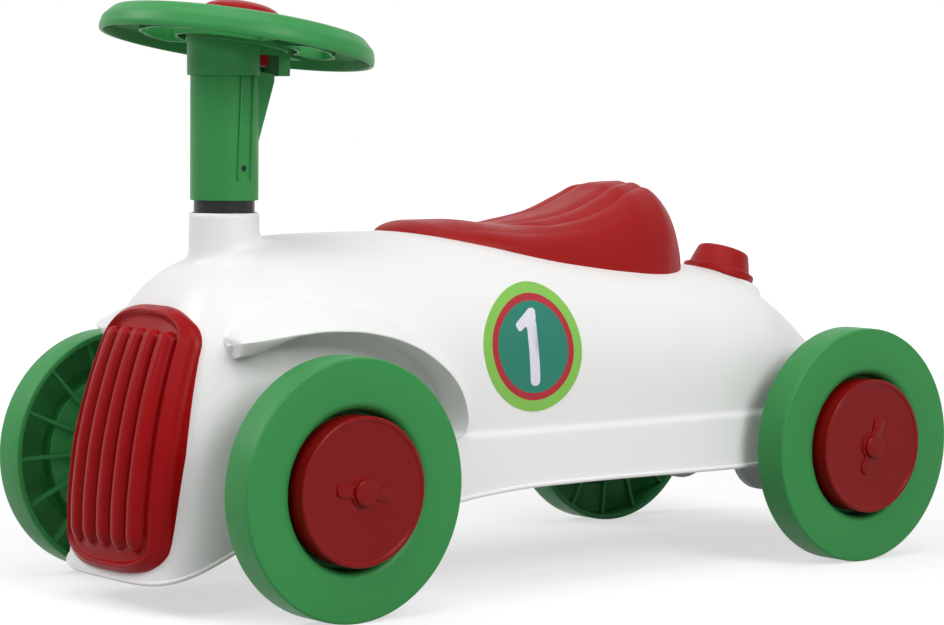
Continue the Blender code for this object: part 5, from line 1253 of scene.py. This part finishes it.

# %% [markdown]
# ## Wheels
#
# Each wheel is one green moulding that is open at the back: an outer face with a round edge, a
# wide dished opening, a web, a hub and fifteen ribs. Turning the profile gives the smooth parts,
# and the ribs and the three slots for the cap's latches are joined and cut afterwards. All four
# wheels are copies of one mesh, as four parts from one mould would be.

# %% Wheel
WHEEL_RADIUS = 0.0850
WHEEL_WIDTH = 0.0255
OPENING_RADIUS = 0.0513
WEB_OUT = WHEEL_WIDTH - 0.0150
WEB_IN = WEB_OUT - 0.0035
RIB_COUNT = 15
RIB_TURN = math.radians(5.0)
LATCH_RADIUS = 0.0330


def latch_bricks(name, low, high):
    """Three bars, one in each place where a latch of the cap passes through the web."""
    bricks = []
    for number in range(3):
        turn = 2 * math.pi * number / 3 + math.pi / RIB_COUNT + RIB_TURN
        bricks.append(brick(name, low, high, Matrix.Rotation(turn, 4, "Z")))
    return bricks


def wheel_mesh():
    wheel = lathe("wheel", (
        (AXLE_BORE, WEB_OUT + 0.0055, 0.0004), (0.0120, WEB_OUT + 0.0055, 0.0008),
        (0.0120, WEB_OUT, 0.001), (OPENING_RADIUS, WEB_OUT, 0.002),
        (OPENING_RADIUS, WHEEL_WIDTH, 0.0064), (WHEEL_RADIUS, WHEEL_WIDTH, 0.0018),
        (WHEEL_RADIUS, 0.0, 0.0012), (0.0812, 0.0, 0.0008),
        (0.0812, WHEEL_WIDTH - 0.004, 0.001), (0.0585, WHEEL_WIDTH - 0.004, 0.001),
        (0.0545, WHEEL_WIDTH - 0.008, 0.003), (0.0545, WEB_IN, 0.001),
        (0.0400, WEB_IN, 0.0006), (0.0400, 0.0010, 0.0006),
        (0.0375, 0.0010, 0.0006), (0.0375, WEB_IN, 0.0006), (0.0120, WEB_IN, 0.001),
        (0.0120, -0.0020, 0.0006), (AXLE_BORE, -0.0020, 0.0004),
    ), 128, closed=True, steps=6)
    ribs = []
    for number in range(RIB_COUNT):
        turn = Matrix.Rotation(2 * math.pi * number / RIB_COUNT + RIB_TURN, 4, "Z")
        low, high = (0.0378, -0.0011, 0.0035), (0.0827, 0.0011, WEB_IN + 0.0012)
        ribs.append(brick("rib", low, high, turn))
    join(wheel, *ribs)
    low = (LATCH_RADIUS - 0.0004, -0.0064, WEB_IN - 0.006)
    high = (LATCH_RADIUS + 0.0028, 0.0064, WHEEL_WIDTH)
    return cut(wheel, *latch_bricks("slot", low, high))


print("wheel is", 2 * WHEEL_RADIUS, "m across")

# %% [markdown]
# The hub cap is glossier than the wheel and stands a little proud of it. A thin lip runs round
# its face, and a moulded spinner sits in the middle: a low ring with two round ears and a
# taller boss. Its three latches pass through the wheel's web, where they show from behind.

# %% Hub cap
CAP_FACE = WHEEL_WIDTH + 0.0075
CAP_FIELD = CAP_FACE - 0.0010
CAP_RADIUS = 0.0484
CAP_INNER = 0.0456
SPINNER_TURN = {"front": -8.0, "rear": 8.0}


def spinner_outline():
    """Low plate of the spinner: a ring with a round ear on each side."""
    outline = []
    ring, ear, reach = 0.0103, 0.0054, 0.0164
    for k in range(160):
        angle = 2 * math.pi * k / 160
        direction = np.array((math.cos(angle), math.sin(angle)))
        distance = ring
        along, across = abs(direction[1]), abs(direction[0])
        if across * reach < ear:
            distance = max(distance, along * reach + math.sqrt(ear ** 2 - (across * reach) ** 2))
        outline.append(distance * direction)
    outline = np.array(outline)
    for _ in range(3):
        outline = (np.roll(outline, 1, 0) + 2 * outline + np.roll(outline, -1, 0)) / 4
    return outline


def spinner():
    """Plate with a rounded upper edge, under a taller boss."""
    outline = spinner_outline()
    normal = outline / np.linalg.norm(outline, axis=1, keepdims=True)
    rings = []
    for inset, height in ((0, -0.001), (0, 0.0006), (0.0003, 0.0011), (0.0009, 0.0013)):
        ring = outline - inset * normal
        rings.append([(u, v, CAP_FIELD + height) for u, v in ring])
    plate = lofted("spinner", rings)
    boss = lathe("boss", (
        (0, CAP_FIELD + 0.0043, 0), (0.0084, CAP_FIELD + 0.0043, 0.0014),
        (0.0092, CAP_FIELD, 0), (0, CAP_FIELD, 0),
    ), 64)
    return join(plate, boss)


def cap_mesh(spinner_turn):
    cap = lathe("cap", (
        (0, CAP_FIELD, 0), (0.0448, CAP_FIELD, 0.0008), (CAP_INNER, CAP_FACE, 0.0006),
        (CAP_RADIUS, CAP_FACE, 0.0018), (CAP_RADIUS, CAP_FACE - 0.017, 0.0004),
        (CAP_INNER, CAP_FACE - 0.017, 0.0004), (CAP_INNER, CAP_FACE - 0.0038, 0.001),
        (0, CAP_FACE - 0.0038, 0),
    ), 120)
    low = (LATCH_RADIUS, -0.006, WEB_IN - 0.006)
    high = (LATCH_RADIUS + 0.0024, 0.006, CAP_FACE - 0.0028)
    legs = latch_bricks("latch", low, high)
    middle = spinner()
    middle.data.transform(Matrix.Rotation(math.radians(spinner_turn), 4, "Z"))
    return join(cap, middle, *legs)


print("cap stands", round(CAP_FACE - WHEEL_WIDTH, 4), "m proud of the wheel")

# %% Four wheels with their caps
WHEEL_TURN = {"front": 0.0, "rear": 60.0}
finishes = {"wheel": (green_satin, "green"), "hub_cap": (red_gloss, "red_gloss")}
wheel_pattern = wheel_mesh()
for end, y in (("front", FRONT_Y), ("rear", REAR_Y)):
    patterns = {"wheel": wheel_pattern, "hub_cap": cap_mesh(SPINNER_TURN[end])}
    for side, word in SIDES:
        tag = f"{end}_{word}"
        for kind, pattern in patterns.items():
            copy = put(kind, pattern.data.copy())
            turn = Matrix.Rotation(math.radians(WHEEL_TURN[end]), 4, "Z")
            copy.matrix_world = facing(side, WHEEL_INNER_X, y) @ turn
            finish, slot = finishes[kind]
            nodes = [f"{kind}_{tag}"]
            finish_piece(copy, f"{kind}_{tag}_piece", finish, f"wheel_{tag}", nodes)
    bpy.data.objects.remove(patterns["hub_cap"], do_unlink=True)
bpy.data.objects.remove(wheel_pattern, do_unlink=True)
print("wheels and caps", 4 * len(patterns))

# %% [markdown]
# ## Axles and what holds them
#
# Behind the caps each wheel runs on a steel axle between a push nut and a spacer. The front
# axle passes through a grey carrier that turns with the steering. These pieces are small and
# mostly hidden, but they show between the wheel and the body from the side and from below.

# %% Axles, nuts, spacers and the carrier
HUB_INNER_X = WHEEL_INNER_X - 0.002
HUB_OUTER_X = WHEEL_INNER_X + WEB_OUT + 0.0055
AXLE_END = 0.1490
SPACER_X = 0.1043
GAP = 0.0004

for end, y, carrier_body in (("front", FRONT_Y, "steering"), ("rear", REAR_Y, "chassis")):
    shaft = lathe("axle", (
        (0, -AXLE_END, 0), (0.005, -AXLE_END, 0.0008), (0.005, AXLE_END, 0.0008), (0, AXLE_END, 0),
    ), 48, place=facing(1, 0.0, y))
    finish_piece(shaft, f"{end}_axle_rod", zinc, carrier_body, [f"{end}_axle"])
    for side, word in SIDES:
        nut = lathe("nut", (
            (AXLE_BORE, 0.0025, 0.0003), (0.0070, 0.0025, 0.0006), (0.0110, 0.0010, 0.0003),
            (0.0110, 0.0, 0.0002), (AXLE_BORE, 0.0, 0.0002),
        ), 48, closed=True, place=facing(side, HUB_OUTER_X + GAP, y), steps=3)
        node = f"{end}_push_nut_{word}"
        finish_piece(nut, f"{node}_piece", zinc, carrier_body, [node])
for side, word in SIDES:
    length = HUB_INNER_X - GAP - SPACER_X
    tube = lathe("spacer", (
        (AXLE_BORE, length, 0.0003), (0.0085, length, 0.0006), (0.0085, 0.0, 0.0006),
        (AXLE_BORE, 0.0, 0.0003),
    ), 48, closed=True, place=facing(side, SPACER_X, REAR_Y), steps=3)
    node = f"rear_spacer_{word}"
    finish_piece(tube, f"{node}_piece", grey_plain, "chassis", [node])


def carrier():
    hub = post("hub", AXLE_Z - 0.010, AXLE_Z + 0.056, 0.0255)
    arms = axle_bar("arms", FRONT_Y, HUB_INNER_X - GAP, 0.010)
    upright = Matrix(((1, 0, 0, 0), (0, 0, -1, FRONT_Y), (0, 1, 0, AXLE_Z), (0, 0, 0, 1)))
    web_line = ((-0.064, 0), (0.064, 0), (0.0255, 0.042), (-0.0255, 0.042))
    join(hub, arms, slab("web", web_line, -0.0025, 0.0025, upright))
    socket = post("socket", AXLE_Z + 0.014, 0.2, TUBE_BORE)
    cut(hub, socket, axle_bar("bore", FRONT_Y, 0.2, AXLE_BORE))
    return soften(hub, 0.0008)


finish_piece(carrier(), "axle_carrier_piece", grey_plain, "steering", ["axle_carrier"])
print("axle reaches", AXLE_END, "m each way")

# %% [markdown]
# ## The steering column
#
# A black steel tube rises out of the neck, and a green sleeve with a round front covers it. On
# the driver's side the sleeve grows into a wedge that carries the wheel's head. Two ribs run
# up each flank, with the head of a small screw between them.

# %% Tube, bushes and column
COLUMN_Z = AXLE_Z + 0.1798
COLUMN_RADIUS = 0.0228
TILT = Matrix.Rotation(math.radians(-9.0), 4, "X")
WHEEL_PLANE = Matrix.Translation((0.0, FRONT_Y + 0.0096, AXLE_Z + 0.2805)) @ TILT
AXIS = Matrix.Translation((0, FRONT_Y, 0))


def below_plane(height):
    """All space under a plane parallel to the steering wheel."""
    return brick("keep", (-0.1, -0.1, -0.25), (0.1, 0.1, height), WHEEL_PLANE)


column_tube = lathe("tube", (
    (0.0204, AXLE_Z + 0.0143, 0.0004), (0.0204, AXLE_Z + 0.2497, 0.0004),
    (0.0184, AXLE_Z + 0.2497, 0.0004), (0.0184, AXLE_Z + 0.0143, 0.0004),
), closed=True, place=AXIS, steps=3)
tube_black = plastic("tube_black", (0.010, 0.010, 0.012), 0.26, grain=0.006, drift=0.15)
finish_piece(
    column_tube, "column_tube_piece", tube_black, "steering", ["column_tube"]
)


def column():
    stem = lathe("column", (
        (0, COLUMN_Z, 0), (COLUMN_RADIUS, COLUMN_Z, 0.0006),
        (COLUMN_RADIUS, 0.385, 0), (0, 0.385, 0),
    ), 120, place=AXIS)
    side_view = (
        (0.0, 0.2160), (COLUMN_RADIUS * 0.80, 0.2160), (0.0318, 0.2590),
        (0.0318, 0.30), (0.0, 0.30),
    )
    axes = Matrix(((0, 0, 1, 0), (1, 0, 0, FRONT_Y), (0, 1, 0, AXLE_Z), (0, 0, 0, 1)))
    wedge = soften(slab("wedge", side_view, -0.0135, 0.0135, axes), 0.0016, segments=3)
    low = (COLUMN_RADIUS - 0.002, -0.001, -0.033)
    high = (COLUMN_RADIUS + 0.0016, 0.001, 0.036)
    ribs = []
    for side, _ in SIDES:
        for turn in (-8.0, 17.0):
            rib = soften(brick("rib", low, high), 0.0006)
            lean = Matrix.Rotation(math.radians(-2.2 * side), 4, "X")
            about = math.radians(turn if side > 0 else 180.0 - turn)
            middle = Matrix.Translation((0, FRONT_Y, AXLE_Z + 0.2265))
            rib.data.transform(middle @ Matrix.Rotation(about, 4, "Z") @ lean)
            ribs.append(rib)
    join(stem, wedge, *ribs)
    trim(stem, below_plane(-0.0135))
    bore = post("bore", COLUMN_Z - 0.01, AXLE_Z + 0.250, TUBE_BORE)
    cup = post("cup", AXLE_Z + 0.254, 0.395, 0.0170)
    low, high = (-0.011, FRONT_Y + 0.004, AXLE_Z + 0.258), (0.011, FRONT_Y + 0.0283, 0.395)
    hollow = brick("hollow", low, high)
    screw_z = COLUMN_Z + 0.0215
    screw_hole = bar_between("hole", (0, FRONT_Y, screw_z), (0.05, FRONT_Y, screw_z), 0.0021, 32)
    return cut(stem, bore, cup, hollow, screw_hole)


finish_piece(column(), "column_sleeve", green_satin, "steering", ["steering_column"])
print("column starts at", round(COLUMN_Z, 4), "m")

# %% [markdown]
# ## The steering wheel
#
# The wheel is a shallow dish, open below: a thick rim, a thin plate with three openings, and a
# hub ring with a well for the horn. The outer edge of each opening is waved for small fingers,
# and a wall hangs from it, which can be seen from below. A head with a keyhole outline drops
# from the hub over the column, with a window through which the horn's legs show.

# %% Steering wheel
RIM_RADIUS = 0.0925
RIM_HEIGHT = 0.0180
RIM_INNER = RIM_RADIUS - 0.0270
HUB_RADIUS = 0.0345
HORN_WELL = 0.0264
SPOKE = 0.0150
LEG_X = 0.0115
HEAD_LOW = AXLE_Z + 0.2625


def rim_form():
    """Hub ring, plate and rim as one turned form, over the top and back below."""
    hub, inner, out, top = HUB_RADIUS, RIM_INNER, RIM_RADIUS, RIM_HEIGHT
    return lathe("rim", (
        (HORN_WELL - 0.002, top + 0.0030, 0), (hub, top + 0.0020, 0.003),
        (hub + 0.006, top - 0.0060, 0.003), (inner, top - 0.0055, 0.002),
        (inner + 0.004, top - 0.0008, 0.003), (inner + 0.012, top, 0.004),
        (out - 0.0085, top - 0.0012, 0.006), (out - 0.0014, top - 0.0085, 0.006),
        (out, 0.0030, 0.006), (out - 0.0006, 0.0, 0.0008), (out - 0.0030, 0.0, 0.0008),
        (out - 0.0040, top - 0.0100, 0.003), (out - 0.0120, top - 0.0045, 0.003),
        (inner + 0.005, top - 0.0040, 0.002), (inner + 0.003, top - 0.0090, 0.002),
        (hub, top - 0.0090, 0.001), (hub, 0.0015, 0.0005), (hub - 0.0025, 0.0015, 0.0005),
        (hub - 0.0025, top - 0.0010, 0.001), (HORN_WELL - 0.002, top, 0),
    ), 144, closed=True, place=WHEEL_PLANE)


def opening_outline(start, end, waves, shrink=0.0):
    """One opening between two spokes. Its outer edge is waved and its corners are round."""
    low, far = HUB_RADIUS + 0.0075 + shrink, RIM_INNER - 0.0010 - shrink
    margin = shrink / 0.05
    outline = []
    steps = 14 * waves
    for step in range(steps + 1):
        share = step / steps
        angle = start + margin + (end - start - 2 * margin) * share
        radius = far - 0.0022 * (1 - abs(math.sin(math.pi * waves * share)) ** 0.6)
        outline.append((radius * math.cos(angle), radius * math.sin(angle)))
    for step in range(17):
        angle = end - margin + (start - end + 2 * margin) * step / 16
        outline.append((low * math.cos(angle), low * math.sin(angle)))
    return outline


def head_outline(radius, half_width, reach):
    """Round in front and square towards the driver."""
    start = math.asin(half_width / radius)
    outline = []
    for step in range(49):
        angle = math.pi / 2 + start + (2 * math.pi - 2 * start) * step / 48
        outline.append((radius * math.cos(angle), radius * math.sin(angle)))
    return outline + [(half_width, reach), (-half_width, reach)]


print("keyhole outline has", len(head_outline(0.025, 0.0165, 0.0420)), "points")

# %% [markdown]
# The parts of the wheel are joined first. Then everything that is open is cut in one go: the
# openings, the well, the space for the column and the slots for the horn's legs.

# %% Steering wheel, put together
def horn_legs(name, half_width, depths, heights):
    """Two square bars, left and right of the wheel's middle."""
    bars = []
    for side, _ in SIDES:
        low = (side * LEG_X - half_width, depths[0], heights[0])
        high = (side * LEG_X + half_width, depths[1], heights[1])
        bars.append(brick(name, low, high, WHEEL_PLANE))
    return bars


def steering_wheel():
    wheel = rim_form()
    head = slab("head", head_outline(0.025, 0.0165, 0.0420), HEAD_LOW, HEAD_LOW + 0.05, AXIS)
    soften(head, 0.0008)
    trim(head, below_plane(0.0045))
    hub_floor = plug("floor", HUB_RADIUS - 0.001, 0.0030, 0.0062, place=WHEEL_PLANE)
    gap = math.asin(SPOKE / RIM_INNER)
    spans = (
        (math.pi + gap, 2 * math.pi - gap, 5), (gap, math.pi / 2 - gap, 2),
        (math.pi / 2 + gap, math.pi - gap, 2),
    )
    walls = []
    holes = []
    for start, end, waves in spans:
        outer = opening_outline(start, end, waves, -0.0016)
        walls.append(slab("wall", outer, 0.0030, RIM_HEIGHT - 0.0070, WHEEL_PLANE))
        holes.append(slab("opening", opening_outline(start, end, waves), -0.02, 0.04, WHEEL_PLANE))
    join(wheel, hub_floor, head, *walls)
    within = head_outline(0.0232, 0.0147, 0.0402)
    hollow = trim(slab("hollow", within, HEAD_LOW - 0.01, HEAD_LOW + 0.05, AXIS), below_plane(0.0))
    horn_well = plug("well", HORN_WELL, 0.0058, 0.05, place=WHEEL_PLANE)
    bellows_hole = plug("hole", 0.009, -0.01, 0.02, 48, WHEEL_PLANE)
    low, high = (-0.05, 0.0143, HEAD_LOW - 0.001), (0.05, 0.0323, HEAD_LOW + 0.0139)
    window = brick("window", low, high, AXIS)
    legs = horn_legs("leg_hole", 0.0024, (0.0056, 0.0179), (-0.01, 0.02))
    return cut(wheel, hollow, horn_well, bellows_hole, window, *legs, *holes)


steering = finish_piece(
    steering_wheel(), "steering_wheel_dish", green_satin, "steering",
    ["steering_wheel"], 32.0,
)
print("steering wheel has", len(steering.data.polygons), "faces")

# %% [markdown]
# ## The horn
#
# The horn is a red dome that sinks three millimetres when it is pressed. Two legs guide it, and
# a small white bellows squeaks below it. On the real car the bellows folds as the dome sinks.

# %% Horn button and bellows
HORN_TOP = 0.0318
HORN_SHOULDER = 0.0240
HORN_RADIUS = 0.0260
HORN_TRAVEL = 0.0030


def horn():
    line = [(0.0, HORN_TOP)]
    for step in range(1, 15):
        angle = math.pi / 2 * step / 14
        reach = math.sin(angle) ** 0.95
        height = HORN_SHOULDER + (HORN_TOP - HORN_SHOULDER) * math.cos(angle)
        line.append((HORN_RADIUS * reach, height))
    line += [(HORN_RADIUS, 0.0128), (HORN_RADIUS - 0.0006, 0.0120), (HORN_RADIUS - 0.0025, 0.0120)]
    line += [(HORN_RADIUS - 0.0025, HORN_SHOULDER - 0.001), (0.0, HORN_TOP - 0.0035)]
    button = turned("horn", line, 96, place=WHEEL_PLANE)
    legs = horn_legs("leg", 0.002, (0.0060, 0.0175), (-0.0095, HORN_SHOULDER + 0.0005))
    return join(button, *legs)


def bellows():
    normal = WHEEL_PLANE.to_3x3() @ Vector((0, 0, 1))
    drop = (WHEEL_PLANE.translation.z - (AXLE_Z + 0.2556)) / normal.z
    length = drop + HORN_TOP - 0.0035 - HORN_TRAVEL - 0.0016
    fold = length / 3
    outside = [(0.003, length, 0.0005), (0.006, length, 0.001)]
    inside = [(0.003, 0.0015, 0)]
    for number in range(3):
        outside.append((0.008, length - fold * (number + 0.5), 0.0010))
        outside.append((0.006, length - fold * (number + 1), 0.0008))
    outside.append((0.003, 0.0, 0))
    for number in range(3):
        inside.append((0.0048, fold * number + (0.0015 if number == 0 else 0.0), 0.0006))
        inside.append((0.0068, fold * (number + 0.5), 0.0008))
    inside += [(0.0048, length - 0.0015, 0.0005), (0.003, length - 0.0015, 0)]
    place = WHEEL_PLANE @ Matrix.Translation((0, 0, -drop))
    return lathe("bellows", outside + inside, 48, closed=True, place=place, steps=3), place


finish_piece(horn(), "horn_dome", red_grille, "horn", ["horn_button"])
bellows_piece, bellows_place = bellows()
white_soft = plastic("white_soft", (0.78, 0.78, 0.76), 0.5, grain=0.015, drift=0.03)
finish_piece(
    bellows_piece, "squeaker_bellows", white_soft, "steering", ["horn_bellows"]
)
length = max((bellows_place.inverted() @ vertex.co).z for vertex in bellows_piece.data.vertices)
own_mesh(bellows_piece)
print("bellows is", round(length, 4), "m long")

# %% [markdown]
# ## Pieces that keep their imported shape
#
# The floor pan, the cross plate, the bushes, the screws and the bolt are right as they are. They
# only need a finish, and each gets one that suits what it is made of.

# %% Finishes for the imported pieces
white_matte = plastic("white_matte", (0.80, 0.81, 0.80), 0.46, grain=0.020, drift=0.02)
kept = {
    "floor_pan": white_matte, "steering_cross_plate": white_matte,
    "steering_upper_bush": black_satin, "steering_lower_bush": black_satin,
    "column_screw": black_satin,
}
for name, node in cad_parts.items():
    if node.hide_render:
        continue
    finish = kept.get(name, zinc)
    node.data.materials.clear()
    node.data.materials.append(finish)
    print("kept", name, "as", finish.name)

# %% [markdown]
# ## Studio
#
# The photograph is a cut-out on pure white, lit softly from above and from the front left. The
# sky is white only to the camera and to reflections, and the floor glows a little to them, more
# so far away, so that it meets the sky without a line and still keeps the car's shadow. For
# everything else the sky is a mild grey, so that undersides get their shade.

# %% Floor and sky rays
FLOOR_GLOW = (0.60, 1.0)
FLOOR_FADE = (0.6, 2.4)
SKY_LIGHT = 0.18
PURE_WHITE = (1.0, 1.0, 1.0, 1.0)


def seen_rays(tree):
    """One for rays from the camera, in reflections and through glass, and zero for the rest."""
    ray = tree.nodes.new("ShaderNodeLightPath")
    total = ray.outputs["Is Camera Ray"]
    for output in ("Is Glossy Ray", "Is Transmission Ray"):
        added = tree.nodes.new("ShaderNodeMath")
        added.operation = "ADD"
        added.use_clamp = True
        tree.links.new(total, added.inputs[0])
        tree.links.new(ray.outputs[output], added.inputs[1])
        total = added.outputs[0]
    return total


def studio_floor(name, colour):
    made, tree, shader, place = new_finish(name)
    mottle(tree, noise(tree, place, 0.8, 2.0), colour, 0.99, 1.0, shader)
    shader.inputs["Roughness"].default_value = 0.9
    shader.inputs["Specular IOR Level"].default_value = 0.1
    reach = tree.nodes.new("ShaderNodeVectorMath")
    reach.operation = "LENGTH"
    link(tree, place, "Object", reach, 0)
    glow = spread(tree, reach, "Value", *FLOOR_GLOW, *FLOOR_FADE)
    scaled = tree.nodes.new("ShaderNodeMath")
    scaled.operation = "MULTIPLY"
    link(tree, glow, "Result", scaled, 0)
    tree.links.new(seen_rays(tree), scaled.inputs[1])
    shader.inputs["Emission Color"].default_value = PURE_WHITE
    link(tree, scaled, 0, shader, "Emission Strength")
    return made


print("floor glows from", FLOOR_GLOW[0], "to", FLOOR_GLOW[1])

# %% [markdown]
# The lamps are large squares on a dome round the car, so that every shadow is soft. The
# strongest one stands square to the car's left side.

# %% Studio, set up
FLOOR_SIZE = 14.0
floor = brick("floor", (-FLOOR_SIZE, -FLOOR_SIZE, -0.02), (FLOOR_SIZE, FLOOR_SIZE, 0.0))
floor.data.materials.append(studio_floor("studio_floor", (0.44, 0.44, 0.44)))

sky = bpy.data.worlds.new("sky")
bpy.context.scene.world = sky
sky.use_nodes = True
tree = sky.node_tree
glow = tree.nodes["Background"]
glow.inputs["Color"].default_value = PURE_WHITE
glow.inputs["Strength"].default_value = SKY_LIGHT
seen = tree.nodes.new("ShaderNodeBackground")
seen.inputs["Color"].default_value = PURE_WHITE
seen.inputs["Strength"].default_value = 1.0
either = tree.nodes.new("ShaderNodeMixShader")
tree.links.new(seen_rays(tree), either.inputs["Fac"])
tree.links.new(glow.outputs[0], either.inputs[1])
tree.links.new(seen.outputs[0], either.inputs[2])
tree.links.new(either.outputs[0], tree.nodes["World Output"].inputs["Surface"])

LAMP_REACH = 2.4


def softbox(name, azimuth, height, size, power):
    """Square lamp on a dome round the car, its azimuth counted from the nose to the left."""
    turn, rise = math.radians(azimuth), math.radians(height)
    away = Vector((
        math.sin(turn) * math.cos(rise), -math.cos(turn) * math.cos(rise), math.sin(rise),
    ))
    lamp = bpy.data.lights.new(name, "AREA")
    lamp.shape = "SQUARE"
    lamp.size = size
    lamp.energy = power
    holder = put(name, lamp)
    place = Matrix.Translation(away * LAMP_REACH + Vector((0.0, 0.0, 0.15)))
    holder.matrix_world = place @ away.to_track_quat("Z", "Y").to_matrix().to_4x4()


softbox("top_box", 0.0, 88.0, 1.6, 12.0)
softbox("high_box", 60.0, 60.0, 1.2, 10.0)
softbox("nose_box", 20.0, 35.0, 1.0, 8.0)
softbox("side_box", 90.0, 30.0, 1.0, 30.0)
softbox("far_box", -35.0, 35.0, 1.0, 23.0)
print("lamps", len(bpy.data.lights))

# %% [markdown]
# ## The last lines
#
# Before it ends, the script sets the view transform to Standard.

# %% View transform
bpy.context.scene.view_settings.view_transform = "Standard"
